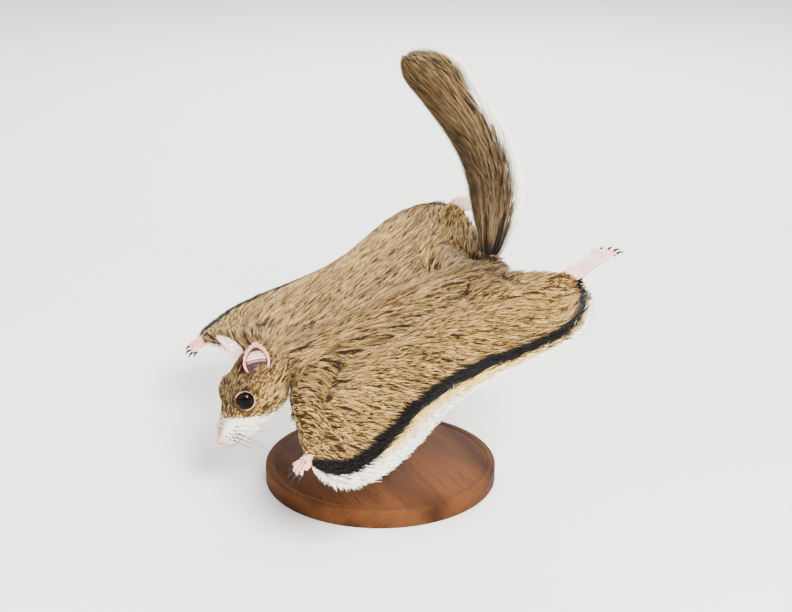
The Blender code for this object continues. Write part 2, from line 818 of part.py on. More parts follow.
def make_tail(torso):
    """A slim core with flat locks fused into it, out to the tips of the tail's hair."""
    rng = random.Random(5)
    rows = [(*row[:3], row[3] * CORE_SHARE, row[4] * CORE_SHARE) for row in TAIL]
    upright = at(math.cos(TAIL_TWIST), math.sin(TAIL_TWIST), 0).normalized()
    bm = bmesh.new()
    lofted(bm, rows, 14, 10, at, upright)
    pieces = [add_object("tail", bm)]
    for row in range(LOCK_ROWS):
        start = LOCK_START + (LOCK_END - LOCK_START) * row / (LOCK_ROWS - 1)
        for k in range(LOCKS_ROUND):
            turn = math.tau * (k + row % 2 / 2 + rng.uniform(-0.1, 0.1)) / LOCKS_ROUND
            angle = turn + 0.17 * math.sin(2 * turn)  # as many on the flat sides as round the edges
            begin = start + rng.uniform(-0.02, 0.02)
            pieces.append(tail_lock(begin, angle, LOCK_REACH * rng.uniform(0.9, 1.1), rng))
    tail = cut_clear(fused("tail", pieces), torso)
    return dress(tail, material("fur", FUR_BROWN, 0.9))


def cylinder_object(name, radius, low, high, sides=24):
    """An upright cylinder on the stand's axis."""
    bm = bmesh.new()
    frame = Matrix.Translation((0, 0, (low + high) / 2 * MM))
    bmesh.ops.create_cone(
        bm,
        cap_ends=True,
        segments=sides,
        radius1=radius * MM,
        radius2=radius * MM,
        depth=(high - low) * MM,
        matrix=frame,
    )
    return add_object(name, bm)


def belly_height(torso, glide):
    """Height of the belly over the floor, straight above the stand's axis."""
    bm = bmesh.new()
    bm.from_mesh(torso.data)
    bmesh.ops.transform(bm, matrix=glide, verts=bm.verts)
    tree = BVHTree.FromBMesh(bm)
    bm.free()
    return tree.ray_cast(Vector((0, 0, 0)), Vector((0, 0, 1)))[0].z / MM


def make_stand(torso, glide):
    """A round base with a collar and one rod that ends in a shallow socket in the belly."""
    rod_top = belly_height(torso, glide) + ROD_TOP_DEPTH
    socket = cylinder_object("socket", ROD_RADIUS + GAP, rod_top - 30, rod_top + GAP)
    socket.matrix_world = glide.inverted()
    bpy.context.view_layer.update()
    cut(torso, socket)
    base = cylinder_object("stand_base", BASE_RADIUS, 0, BASE_THICKNESS, 40)
    bevel = base.modifiers.new("edge", "BEVEL")
    bevel.width = BASE_EDGE * MM
    bevel.segments = 2
    bevel.limit_method = "ANGLE"
    apply_modifiers(base)
    foot = BASE_THICKNESS - ROD_FOOT_DEPTH
    cut(base, cylinder_object("hole", ROD_RADIUS + GAP, foot - GAP, BASE_THICKNESS + 5))
    dress(base, material("stand", STAND_WOOD, 0.5))
    collar_low = BASE_THICKNESS + GAP
    collar = cylinder_object("stand_collar", COLLAR_RADIUS, collar_low, collar_low + COLLAR_HEIGHT)
    cut(collar, cylinder_object("hole", ROD_RADIUS + GAP, BASE_THICKNESS - 5, BASE_THICKNESS + 15))
    rod = cylinder_object("stand_rod", ROD_RADIUS, foot, rod_top)
    for piece in (collar, rod):
        dress(piece, material("steel", STEEL, 0.3, 1.0))


def main():
    clear_scene()
    glide = Matrix.Translation((0, BALANCE_FORWARD * math.cos(GLIDE_PITCH) * MM, TAIL_ROOT_HEIGHT * MM))
    glide = glide @ Matrix.Rotation(GLIDE_PITCH, 4, "X")
    nodes = make_body()
    nodes["head"] = make_head()
    nodes["nose"] = make_nose(nodes["head"])
    nodes["tail"] = make_tail(nodes["torso"])
    for side, word in ((1, "left"), (-1, "right")):
        nodes["eye_" + word] = make_eye("eye_" + word, side)
        nodes["ear_" + word] = make_ear("ear_" + word, side, nodes["head"], nodes["neck"])
        forearm, shin = nodes["forearm_" + word], nodes["shin_" + word]
        nodes["forefoot_" + word] = make_foot("forefoot_" + word, FOREFOOT, FOREFOOT_TOES, side, forearm)
        nodes["hind_foot_" + word] = make_foot("hind_foot_" + word, HIND_FOOT, HIND_FOOT_TOES, side, shin)
        cut_clear(nodes["forefoot_" + word], nodes["patagium_" + word])
        cut_clear(nodes["hind_foot_" + word], nodes["patagium_" + word])
    make_stand(nodes["torso"], glide)
    carrier = bpy.data.objects.new("glide", None)
    bpy.context.scene.collection.objects.link(carrier)
    carrier.matrix_world = glide
    for node in nodes.values():
        node.parent = carrier
        node.data.shade_smooth()


main()
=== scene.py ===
import math
import random

import bmesh
import bpy
import numpy as np
from mathutils import Matrix, Vector
from mathutils.bvhtree import BVHTree
from mathutils.kdtree import KDTree


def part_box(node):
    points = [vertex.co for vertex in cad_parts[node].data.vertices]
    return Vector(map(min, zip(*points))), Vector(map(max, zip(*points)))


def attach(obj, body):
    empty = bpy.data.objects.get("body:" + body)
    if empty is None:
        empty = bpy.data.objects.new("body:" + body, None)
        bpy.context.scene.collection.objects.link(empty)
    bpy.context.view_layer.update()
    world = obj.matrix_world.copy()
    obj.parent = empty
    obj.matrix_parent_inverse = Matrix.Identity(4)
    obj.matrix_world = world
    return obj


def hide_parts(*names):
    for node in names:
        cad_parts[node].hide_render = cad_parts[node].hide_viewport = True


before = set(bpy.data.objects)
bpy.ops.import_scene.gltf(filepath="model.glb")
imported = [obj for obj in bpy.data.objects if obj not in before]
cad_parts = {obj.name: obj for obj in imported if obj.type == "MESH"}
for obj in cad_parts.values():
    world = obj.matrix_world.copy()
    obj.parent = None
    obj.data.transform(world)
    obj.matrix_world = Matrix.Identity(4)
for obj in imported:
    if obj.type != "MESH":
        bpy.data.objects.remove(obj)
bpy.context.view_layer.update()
mm = 0.001
bothSides = ((1, "left"), (-1, "right"))

# The animal's own axes are forward, left and up in millimetres from its tail root. The glide
# tips it nose down over the stand, and the head hangs from the neck on axes of its own.
glide = {"pitch": 15.9, "balance": 60, "height": 94}
headHang = {"place": (115.5, 0, 7), "pitch": 38, "yaw": 6}


def turned(degrees, axis):
    return Matrix.Rotation(math.radians(degrees), 4, axis)


glideLift = (0, glide["balance"] * math.cos(math.radians(glide["pitch"])) * mm, glide["height"] * mm)
forwardLeftUp = Matrix(((0, 1, 0, 0), (-1, 0, 0, 0), (0, 0, 1, 0), (0, 0, 0, 1))) @ Matrix.Scale(mm, 4)
bodyFrame = Matrix.Translation(glideLift) @ turned(glide["pitch"], "X") @ forwardLeftUp
headTurn = forwardLeftUp.inverted() @ turned(headHang["yaw"], "Z") @ turned(headHang["pitch"], "X")
headFrame = bodyFrame @ Matrix.Translation(headHang["place"]) @ headTurn @ forwardLeftUp
bodyTurn = np.array(bodyFrame.to_3x3().normalized())


def placed(axes, points):
    # rows of points in an animal's axes, as points of the scene
    grid = np.array(axes)
    return np.asarray(points, float) @ grid[:3, :3].T + grid[:3, 3]


def seenIn(axes, points):
    return placed(axes.inverted(), points)


def unit(vectors):
    return vectors / np.maximum(np.linalg.norm(vectors, axis=-1, keepdims=True), 1e-12)


def curveAt(rows, t):
    # a smooth curve through rows of numbers, for t from 0 to 1
    rows = np.asarray(rows, float)
    last = len(rows) - 1
    t = np.clip(np.atleast_1d(t), 0, 1) * last
    i = np.minimum(t.astype(int), last - 1)
    s = (t - i)[:, None]
    p, q, r, e = (rows[np.clip(i + k, 0, last)] for k in (-1, 0, 1, 2))
    return q + 0.5 * s * (r - p + s * (2 * p - 5 * q + 4 * r - e + s * (3 * (q - r) + e - p)))


def eased(value, start, end):
    t = np.clip((value - start) / (end - start), 0, 1)
    return t * t * (3 - 2 * t)


def sided(place, side):
    return (place[0], place[1] * side, *place[2:])


def onSide(rows, side):
    return [sided(row, side) for row in rows]


def gapTo(points, place):
    # how far each point is from one place
    return np.linalg.norm(points - place, axis=1)


def distanceTo(line, points):
    # how far each point is from a polyline, and where along it, from 0 to 1
    line = np.asarray(line, float)
    best, where = np.full(len(points), 1e9), np.zeros(len(points))
    for i, (a, b) in enumerate(zip(line, line[1:])):
        span = b - a
        t = np.clip((points - a) @ span / (span @ span), 0, 1)
        gap = np.linalg.norm(points - a - t[:, None] * span, axis=1)
        nearer = gap < best
        best[nearer], where[nearer] = gap[nearer], (i + t[nearer]) / (len(line) - 1)
    return best, where


# Sizes that the solids have too: eye and nose on the head's axes, the rest on the body's
eye = {"place": (19.9, 7.8, 6.0), "radius": 5.2, "look": (0.34, 0.86, 0.38)}
noseTip = (43.2, 0, 1.5)
wrist, ankle = (126, 76, -4.6), (-15.5, 61, 14.5)
rimEdge = [
    (130, 80, -5.6), (127, 92, -7.4), (119, 100.5, -8.6), (107, 103.5, -7), (92, 100, -4.4),
    (76, 92.5, -1.8), (60, 86.5, 1), (43, 85.5, 4), (26, 91, 7), (10, 95, 9.6), (-3, 91, 11.8),
    (-12, 79, 13.4), (-18, 64, 14.4),
]
rimDroop = 3.6
tailLine = {
    # centre line forward, left, up, then half width and half thickness out to the hair's tips
    "rows": [
        (2, 0, 2, 8, 5.5), (-7, 0, 20, 10.5, 6.4), (-12.6, 0, 37, 13.5, 7.0),
        (-14.2, 0, 54, 15.5, 7.2), (-12.0, 0, 70, 16, 7.2), (-6.5, 0, 86, 16, 6.8),
        (1.5, 0, 103, 14, 6.0), (8, 0, 114.5, 9.5, 4.4), (12.5, 0, 121.5, 3.2, 1.8),
    ],
    "twist": 24,
    "core": 0.48,
}
tailSpine = [row[:3] for row in tailLine["rows"]]
tailUpright = (math.cos(math.radians(tailLine["twist"])), math.sin(math.radians(tailLine["twist"])), 0)


def rimLine(side, steps=160):
    u = np.linspace(0, 1, steps)
    line = curveAt(rimEdge, u)
    line[:, 2] -= rimDroop * np.sin(math.pi * u)
    line[:, 1] *= side
    return line


# Shader maths
class Wire:
    # a node's output that takes part in Python sums
    def __init__(self, finish, socket):
        self.finish, self.socket = finish, socket

    def maths(self, operation, first, second):
        return self.finish.node("ShaderNodeMath", {"operation": operation}, {0: first, 1: second})

    def __add__(self, other):
        return self.maths("ADD", self, other)

    def __mul__(self, other):
        return self.maths("MULTIPLY", self, other)

    def between(self, start, end):
        # 0 below start, 1 above end
        values = {"Value": self, "From Min": start, "From Max": end}
        return self.finish.node("ShaderNodeMapRange", {"interpolation_type": "SMOOTHSTEP"}, values)

    __radd__, __rmul__ = __add__, __mul__


class Finish:
    def __init__(self, name):
        self.material = bpy.data.materials.new(name)
        self.material.use_nodes = True
        self.tree = self.material.node_tree
        self.shader = self.tree.nodes["Principled BSDF"]

    def node(self, kind, settings=None, inputs=None, output=0):
        made = self.tree.nodes.new(kind)
        for key, value in (settings or {}).items():
            setattr(made, key, value)
        for key, value in (inputs or {}).items():
            self.feed(made.inputs[key], value)
        return Wire(self, made.outputs[output])

    def feed(self, socket, value):
        if isinstance(value, Wire):
            self.tree.links.new(value.socket, socket)
        else:
            socket.default_value = value

    def put(self, **values):
        for key, value in values.items():
            self.feed(self.shader.inputs[shaderSockets[key]], value)

    def place(self):
        return self.node("ShaderNodeTexCoord", output="Object")

    def mark(self, name):
        return self.node("ShaderNodeAttribute", {"attribute_name": name}, output="Fac")

    def noise(self, scale, detail=3, roughness=0.5, stretch=None):
        spot = self.place()
        if stretch:
            spot = self.node("ShaderNodeMapping", inputs={"Vector": spot, "Scale": stretch})
        values = {"Vector": spot, "Scale": scale, "Detail": detail, "Roughness": roughness}
        return self.node("ShaderNodeTexNoise", inputs=values)

    def mix(self, share, first, second, blend="MIX"):
        values = {0: share, 6: first, 7: second}
        return self.node("ShaderNodeMix", {"data_type": "RGBA", "blend_type": blend}, values, 2)

    def bump(self, height, strength, distance):
        values = {"Height": height, "Strength": strength, "Distance": distance}
        return self.node("ShaderNodeBump", inputs=values)


shaderSockets = {
    "colour": "Base Color", "roughness": "Roughness", "metallic": "Metallic", "normal": "Normal",
    "coat": "Coat Weight", "sheen": "Sheen Weight", "specular": "Specular IOR Level",
    "subsurface": "Subsurface Weight", "subsurfaceScale": "Subsurface Scale",
}


def colour(red, green, blue):
    # a colour as a screen shows it, from 0 to 255, for a shader
    parts = (value / 255 for value in (red, green, blue))
    return (*(p / 12.92 if p < 0.04 else ((p + 0.055) / 1.055) ** 2.4 for p in parts), 1)


# Pieces
def linked(name, data):
    made = bpy.data.objects.new(name, data)
    bpy.context.scene.collection.objects.link(made)
    return made


def makePiece(name, mesh, finish, replaced=()):
    piece = linked(name, mesh)
    mesh.materials.clear()
    mesh.materials.append(finish.material)
    mesh.shade_smooth()
    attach(piece, "root")
    if replaced:
        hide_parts(*replaced)
    return piece


def asMesh(bm, name, outward=True):
    if outward:
        bmesh.ops.recalc_face_normals(bm, faces=bm.faces)
    mesh = bpy.data.meshes.new(name)
    bm.to_mesh(mesh)
    bm.free()
    return mesh


def addCircle(bm, centre, tangent, halfWidth, halfHeight, sides, upright):
    across = upright.cross(tangent).normalized()
    top = tangent.cross(across).normalized()
    turn = Matrix((across * halfWidth, top * halfHeight, tangent)).transposed().to_4x4()
    turn.translation = centre
    return bmesh.ops.create_circle(bm, segments=sides, radius=1, matrix=turn)["verts"]


def ringEdges(verts):
    own = set(verts)
    return {edge for vert in verts for edge in vert.link_edges if edge.other_vert(vert) in own}


def addTube(bm, axes, points, halfSizes, sides, upright=(0, 0, 1)):
    # a closed tube through points of the given axes, half a width and a height at each
    points = [Vector(point) for point in points]
    loops, last = [], len(points) - 1
    for i, point in enumerate(points):
        tangent = (points[min(i + 1, last)] - points[max(i - 1, 0)]).normalized()
        loops.append(addCircle(bm, point, tangent, *halfSizes[i], sides, Vector(upright)))
    edges = [ringEdges(loop) for loop in loops]
    for near, far in zip(edges, edges[1:]):
        bmesh.ops.bridge_loops(bm, edges=list(near | far))
    bm.faces.new(loops[0])
    bm.faces.new(loops[-1])
    made = [vert for loop in loops for vert in loop]
    bmesh.ops.transform(bm, matrix=axes, verts=made)


def addLoft(bm, axes, rows, steps, sides, upright=(0, 0, 1)):
    smooth = curveAt(rows, np.linspace(0, 1, steps + 1))
    addTube(bm, axes, smooth[:, :3], smooth[:, 3:5], sides, upright)


def addBall(bm, spot, around, rings, radius=1.0):
    # a ball, or an egg where the spot's matrix stretches it
    bmesh.ops.create_uvsphere(bm, u_segments=around, v_segments=rings, radius=radius, matrix=spot)


def melted(mesh, voxel):
    # overlapping closed shells as one even skin
    holder = linked("melt", mesh)
    melt = holder.modifiers.new("melt", "REMESH")
    melt.mode = "VOXEL"
    melt.voxel_size = voxel * mm
    return applied(holder)


def soften(holder, steps, group=""):
    smooth = holder.modifiers.new("soften", "SMOOTH")
    smooth.factor, smooth.iterations, smooth.vertex_group = 0.5, steps, group


def applied(holder):
    graph = bpy.context.evaluated_depsgraph_get()
    mesh = bpy.data.meshes.new_from_object(holder.evaluated_get(graph))
    bpy.data.objects.remove(holder)
    return mesh


def vertexArray(mesh, key="co"):
    values = np.zeros(len(mesh.vertices) * 3, np.float32)
    if key == "co":
        mesh.vertices.foreach_get("co", values)
    else:
        mesh.vertex_normals.foreach_get("vector", values)
    return values.reshape(-1, 3).astype(float)


def faceArray(mesh, key):
    return np.array([tuple(getattr(face, key)) for face in mesh.polygons])


def surfaceOf(mesh):
    faces = [tuple(face.vertices) for face in mesh.polygons]
    return BVHTree.FromPolygons(vertexArray(mesh).tolist(), faces)


def setMarks(mesh, marks):
    for name, values in marks.items():
        layer = mesh.attributes.new(name, "FLOAT", "POINT")
        layer.data.foreach_set("value", np.asarray(values, np.float32))


print("helpers ready")

# Where the coat changes
coatMap = {
    # the dark line over the membrane's rim: where along the rim from wrist to ankle, how far in
    # its inner and its outer edges lie
    "stripe": [
        (0.0, 2.5, 0.0), (0.06, 9.0, 1.4), (0.16, 13.0, 3.6), (0.30, 14.6, 7.0), (0.42, 14.4, 7.6),
        (0.52, 10.6, 4.2), (0.62, 7.2, 1.8), (0.75, 5.6, 0.8), (0.88, 4.4, 0.6), (1.0, 3.0, 0.4),
    ],
    # head's axes, along and up: where the white of the face ends
    "pale face": [
        (42, 3.8), (37, 5.3), (33.8, 6.3), (30.6, 5.6), (27.9, 2.0), (24.9, -2.3), (20.6, -6.2), (0, -17),
    ],
    # body's axes: the fold where the shoulder meets the neck; painted shade darkens the coat along it
    "shoulder fold": [(110.9, 9.8, 9.4), (109.4, 20.2, 7.5), (113.5, 26.4, 6.7), (118.7, 34.1, 5.5)],
    "neckline": (112, 4, 12),  # how far forward and up the head begins, and its lean in degrees
    "neck side": (111.5, 15.5, 0),
    "nape": (2, 0, 11),  # head's axes
}


def headShare(body):
    # 1 ahead of the nape, 0 behind it and on the arms
    forward, up, lean = coatMap["neckline"]
    lean = math.radians(lean)
    ahead = (body[:, 0] - forward) * math.cos(lean) - (body[:, 2] - up) * math.sin(lean)
    return eased(ahead, -5, 5) * (1 - eased(np.abs(body[:, 1]), 15.5, 19))


def tailShare(body):
    gap, where = distanceTo(tailSpine, body)
    return eased(where, 0.05, 0.10) * (gap < 11)


def rimReach(body):
    # how far in from the membrane's rim each point lies, and how far from wrist to ankle
    folded = body.copy()
    folded[:, 1] = np.abs(folded[:, 1])
    return distanceTo(rimLine(1, 60), folded)


def markings(points, normals, speckle=0.0):
    # the coat's markings at points of the skin, with painted crease shade among them, each from 0 to 1
    body, head = seenIn(bodyFrame, points), seenIn(headFrame, points)
    up, away = normals @ bodyTurn[:, 2], np.abs(body[:, 1])
    onHead = headShare(body)
    inward, along = rimReach(body)
    spots, inner, outer = zip(*coatMap["stripe"])
    inner, outer = np.interp(along, spots, inner), np.interp(along, spots, outer)
    onMembrane = eased(away, 40, 55)
    lowest = -0.42 - 0.3 * eased(body[:, 0], 80, 100) * (1 - eased(away, 30, 45))
    above = eased(up, lowest, lowest + 0.35)
    above = np.maximum(above, eased(body[:, 2], 1, 5) * (1 - eased(away, 30, 40)))
    stripe = (1 - eased(inward, inner - 0.9, inner + 1.1)) * eased(inward, outer - 0.6, outer + 0.4)
    cream = (1 - eased(inward, outer - 0.5, outer + 0.3)) * onMembrane
    face = np.array(coatMap["pale face"])
    line = np.interp(head[:, 0], face[::-1, 0], face[::-1, 1]) + speckle
    paleFace = (1 - eased(head[:, 2], line - 0.8, line + 0.6)) * onHead
    fold, ring = np.zeros((2, len(points)))
    for side in (1, -1):
        gap = distanceTo(onSide(coatMap["shoulder fold"], side), body)[0]
        fold = np.maximum(fold, 1 - eased(gap, 1.0, 3.6))
        above = np.maximum(above, 1 - eased(gap, 4, 8))
        above = np.maximum(above, 1 - eased(gapTo(body, sided(coatMap["neck side"], side)), 5, 9))
        gap = gapTo(head, sided(eye["place"], side))
        ring = np.maximum(ring, 1 - eased(gap, 5.9, 6.9))
        above = np.maximum(above, (1 - eased(gap, 7.5, 9.5)) * onHead)
    # painted shade: a dark line down the spine and a dark patch at the nape, which join the dark of the
    # shoulder fold
    spineShade = (1 - eased(away, 0.8, 5.0)) * (1 - onHead) * 0.6
    nape = (1 - eased(gapTo(head, coatMap["nape"]), 6, 14)) * 0.6
    crown = 0.8 * eased(head[:, 2], 3, 12) * onHead
    rump = 0.8 * (1 - eased(body[:, 0], 0, 45)) * (1 - eased(away, 15, 50))
    back = 0.32 * (1 - eased(away, 20, 75)) * (1 - onHead)
    return {
        "above": above * (1 - paleFace),
        "stripe": stripe * onMembrane * (up > -0.3),
        "cream": cream,
        "yellow": eased(along, 0.2, 0.34) * eased(inward, outer - 5.0, outer - 2.2),
        "dusk": np.maximum.reduce([crown, rump, back]),
        "pink": eased(head[:, 0], 38.5, 43.5) * 0.8 * onHead,
        # deep is painted shade in the creases: the shoulder fold, the spine and the nape
        "deep": np.maximum.reduce([fold, spineShade, nape]) * (1 - paleFace),
        "ring": ring * onHead,
    }


furMarks = ("above", "stripe", "cream", "yellow", "dusk", "pink", "deep", "ring")
furColours = {
    "tan": colour(158, 123, 66), "light": colour(196, 162, 102), "brown": colour(130, 97, 48),
    # fold is the dark brown of the painted crease shade, and also of the dark ring round each eye
    "dark": colour(30, 16, 5), "fold": colour(66, 38, 14), "dusk": colour(158, 162, 192),
    "stripe": colour(9, 6, 5), "yellow": colour(232, 196, 112), "cream": colour(240, 230, 206),
    # root is the darkening towards each hair's root: partly real slate-grey underfur, partly painted shade
    # in the gaps between locks
    "white": colour(252, 250, 245), "pink": colour(226, 176, 166), "root": colour(96, 72, 50),
}


def makeFurFinish(name):
    # skin and coat share this: the marks pick the colour and each tuft's own shade varies it
    fur = Finish(name)
    shade, along = fur.mark("shade"), fur.mark("along")
    patches = fur.noise(55, 3, 0.6)
    tan = fur.mix(patches.between(0.36, 0.66), furColours["brown"], furColours["tan"])
    tan = fur.mix(shade.between(0.5, 0.95) * 0.9, tan, furColours["light"])
    tan = fur.mix(shade.between(0.42, 0.26) * 0.94, tan, furColours["dark"])
    # painted shade: the creases under the deep mark take the dark fold colour
    tan = fur.mix(fur.mark("deep") * 0.7, tan, furColours["fold"])
    tan = fur.mix(fur.mark("dusk"), tan, fur.mix(1.0, tan, furColours["dusk"], "MULTIPLY"))
    pale = fur.mix(shade.between(0.1, 0.8), furColours["cream"], furColours["white"])
    coat = fur.mix(fur.mark("above"), pale, tan)
    coat = fur.mix(fur.mark("ring") * 0.8, coat, furColours["fold"])
    coat = fur.mix(fur.mark("pink"), coat, furColours["pink"])
    rim = fur.mix(fur.mark("yellow"), pale, furColours["yellow"])
    coat = fur.mix(fur.mark("cream"), coat, rim)
    coat = fur.mix(fur.mark("stripe"), coat, furColours["stripe"])
    # darker towards each hair's root, less under the pale fur: partly real slate-grey underfur, partly
    # painted shade in the gaps between locks
    under = along.between(0.62, 0.0) * (0.3 + fur.mark("above") * 0.55)
    coat = fur.mix(under, coat, fur.mix(1.0, coat, furColours["root"], "MULTIPLY"))
    fur.put(colour=coat, roughness=0.75, specular=0.1, sheen=0.03)
    return fur


furFinish = makeFurFinish("fur")

# The skin: the solids of flesh melted into one form, set in by the coat's depth
fleshNodes = ["head", "neck", "torso"] + [
    part + "_" + word
    for part in ("upper_arm", "forearm", "thigh", "shin", "patagium")
    for _, word in bothSides
]
skinForm = {
    "joining": 0.25,  # each solid is moved out this far so that they melt together
    "voxel": 0.6,
    "body smoothing": 12,
    "head smoothing": 4,
    "most of the thickness": 0.3,
    "triangles": 186000,
    "shade": 0.4,
}


def limbGap(body):
    # how far each point is from the nearest wrist or ankle
    joints = [sided(joint, side) for joint in (wrist, ankle) for side in (1, -1)]
    return np.minimum.reduce([gapTo(body, joint) for joint in joints])


def coatDepth(points):
    # how far the skin lies inside the solids
    body, head = seenIn(bodyFrame, points), seenIn(headFrame, points)
    onHead = headShare(body)
    depth = np.full(len(points), 2.2)
    onFace = np.interp(head[:, 0], [0, 12, 24, 34, 40], [1.5, 1.0, 0.7, 0.45, 0.3])
    depth = depth * (1 - onHead) + onFace * onHead
    return np.minimum(depth, 0.5 + 1.7 * eased(limbGap(body), 4, 22)) * (1 - tailShare(body))


def makeSkin():
    whole = bmesh.new()
    for name in fleshNodes:
        flesh = bmesh.new()
        flesh.from_mesh(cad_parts[name].data)
        bmesh.ops.remove_doubles(flesh, verts=flesh.verts, dist=1e-6)
        flesh.normal_update()
        moves = [vert.normal * skinForm["joining"] * mm for vert in flesh.verts]
        for vert, move in zip(flesh.verts, moves):
            vert.co += move
        whole.from_mesh(asMesh(flesh, name + "_copy", outward=False))
    share = tailLine["core"]
    core = curveAt(tailLine["rows"], np.linspace(0, 0.94, 9)) * (1, 1, 1, share, share)
    addLoft(whole, bodyFrame, core, 60, 24, tailUpright)
    # fills the rod's socket in the belly, so that the skin closes round the rod
    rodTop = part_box("stand_rod")[1].z / mm
    spot = Matrix.Translation((0, 0, (rodTop - 1.5) * mm)) @ Matrix.Diagonal((4 * mm, 4 * mm, 4.4 * mm, 1))
    addBall(whole, spot, 24, 16)
    mesh = melted(asMesh(whole, "skin", outward=False), skinForm["voxel"])
    holder = linked("skin_form", mesh)
    onHead = headShare(seenIn(bodyFrame, vertexArray(mesh)))
    setGroup(holder, "body", 1 - onHead)
    soften(holder, skinForm["body smoothing"], "body")
    soften(holder, skinForm["head smoothing"])
    mesh = applied(holder)
    points, normals = vertexArray(mesh), vertexArray(mesh, "normal")
    tree, depth = surfaceOf(mesh), coatDepth(points)
    starts = points - normals * 0.02 * mm
    rays = [tree.ray_cast(Vector(start), Vector(-normal), 0.03) for start, normal in zip(starts, normals)]
    thickness = np.array([ray[3] or 0.03 for ray in rays]) / mm
    depth = np.minimum(depth, skinForm["most of the thickness"] * thickness)
    points -= normals * (depth * mm)[:, None]
    mesh.vertices.foreach_set("co", points.astype(np.float32).ravel())
    mesh.update()
    holder = linked("skin_form", mesh)
    setGroup(holder, "body", 1 - 0.7 * onHead)
    soften(holder, 2)
    thin = holder.modifiers.new("thin", "DECIMATE")
    thin.ratio = skinForm["triangles"] / (2 * len(mesh.polygons))
    thin.vertex_group, thin.use_collapse_triangulate = "body", True
    mesh = applied(holder)
    count = len(mesh.vertices)
    setMarks(mesh, markings(vertexArray(mesh), vertexArray(mesh, "normal")))
    # along 0 gives the skin the full darkening of the hair's roots: painted shade where it shows between the
    # tufts
    setMarks(mesh, {"shade": np.full(count, skinForm["shade"]), "along": np.zeros(count)})
    return makePiece("skin", mesh, furFinish, fleshNodes + ["tail"])


def setGroup(holder, name, weights):
    group = holder.vertex_groups.new(name=name)
    steps = np.round(np.clip(weights, 0, 1) * 10).astype(int)
    for step in range(1, 11):
        group.add(np.nonzero(steps == step)[0].tolist(), step / 10, "REPLACE")


skin = makeSkin()
print("skin:", len(skin.data.polygons), "triangles")

# The lie of the hair. On the body it leans outward from straight back, by degrees at distances
# from the middle, more along the arms and thighs; on the head it follows lines from root to tip.
lie = {
    "outward": [(0, 0), (8, 15), (25, 44), (60, 63), (90, 58), (104, 44)],
    "under": 16,
    "side": {1: 1.0, -1: 0.32},
    "arm": 68,
    "thigh": 55,
    "off the rim": 12,
    "head": [
        [(42, 0, 4), (30, 0, 9), (18, 0, 13), (6, 0, 14), (-6, 0, 8)],
        [(42, 0, -4), (30, 0, -10), (14, 0, -14), (0, 0, -16)],
    ],
    "face": [
        [(41, 4, 1), (33, 8, 2), (24, 12, -2), (14, 14, -3), (2, 15, -3)],
        [(41, 3, -3), (32, 7, -6), (20, 11, -10), (6, 14, -12)],
        [(36, 5, 5), (28, 7, 9), (18, 10, 13), (8, 12, 12)],
    ],
}


def lieGuides():
    # points along the head's lines and the way that the hair lies there
    spots, ways = [], []
    lines = lie["head"] + [onSide(line, side) for line in lie["face"] for side in (1, -1)]
    for line in lines:
        dense = placed(headFrame, curveAt(line, np.linspace(0, 1, 4 * len(line))))
        spots.append((dense[1:] + dense[:-1]) / 2)
        ways.append(unit(dense[1:] - dense[:-1]))
    return np.concatenate(spots) / mm, np.concatenate(ways)


guideSpots, guideWays = lieGuides()


def lieAt(points, normals):
    body = seenIn(bodyFrame, points)
    up = normals @ bodyTurn[:, 2]
    side, away = np.sign(body[:, 1]), np.abs(body[:, 1])
    turn = np.interp(away, *zip(*lie["outward"])) * np.where(side > 0, lie["side"][1], lie["side"][-1])
    turn = turn + (lie["arm"] - turn) * eased(body[:, 0], 92, 120) * eased(away, 14, 26)
    turn = turn + (lie["thigh"] - turn) * (1 - eased(body[:, 0], -4, 14)) * eased(away, 10, 20)
    inward, along = rimReach(body)
    run = np.diff(rimLine(1, 60), axis=0)
    rimTurn = np.degrees(np.arctan2(run[:, 1], -run[:, 0]))
    rimTurn = rimTurn[np.minimum((along * 59).astype(int), 58)]
    nearRim = (1 - eased(inward, 5, 20)) * eased(along, 0.14, 0.28) * (1 - eased(along, 0.86, 0.97))
    turn = turn + (rimTurn + lie["off the rim"] - turn) * nearRim
    turn = np.radians(np.where(up < -0.2, np.minimum(turn, lie["under"]), turn))
    ways = np.stack([-np.cos(turn), np.sin(turn) * side, 0 * turn], axis=1) @ bodyTurn.T
    ahead = headShare(body)
    near = np.nonzero(ahead > 0)[0]
    for start in range(0, len(near), 20000):
        block = near[start:start + 20000]
        gaps = ((points[block, None] / mm - guideSpots) ** 2).sum(axis=2)
        headWays = unit((1 / (gaps + 25) ** 2) @ guideWays)
        ways[block] += (headWays - ways[block]) * ahead[block, None]
    ways -= normals * (ways * normals).sum(axis=1, keepdims=True)
    return unit(ways)


# Tufts: slim closed blades with three corners to a section and one point at the tip
def bladeArrays(stations, sides, tops, halfWidths, halfDepths):
    # stations has one row a blade and one column a section, root to tip
    count, steps = stations.shape[:2]
    rings = []
    for k in range(steps - 1):
        centre = stations[:, k]
        wide, deep = sides[:, k] * halfWidths[:, k, None], tops[:, k] * halfDepths[:, k, None]
        rings += [centre - wide - deep / 2, centre + wide - deep / 2, centre + deep]
    verts = np.stack(rings + [stations[:, -1]], axis=1)
    faces = [(0, 1, 2)]
    for k in range(0, 3 * (steps - 2), 3):
        for a, b in ((k, k + 1), (k + 1, k + 2), (k + 2, k)):
            faces += [(b, a, a + 3), (b, a + 3, b + 3)]
    k, tip = 3 * (steps - 2), 3 * (steps - 1)
    faces += [(b, a, tip) for a, b in ((k, k + 1), (k + 1, k + 2), (k + 2, k))]
    faces = np.array(faces)
    each = verts.shape[1]
    faces = faces[None] + np.arange(count)[:, None, None] * each
    return verts.reshape(-1, 3), faces.reshape(-1, 3), each


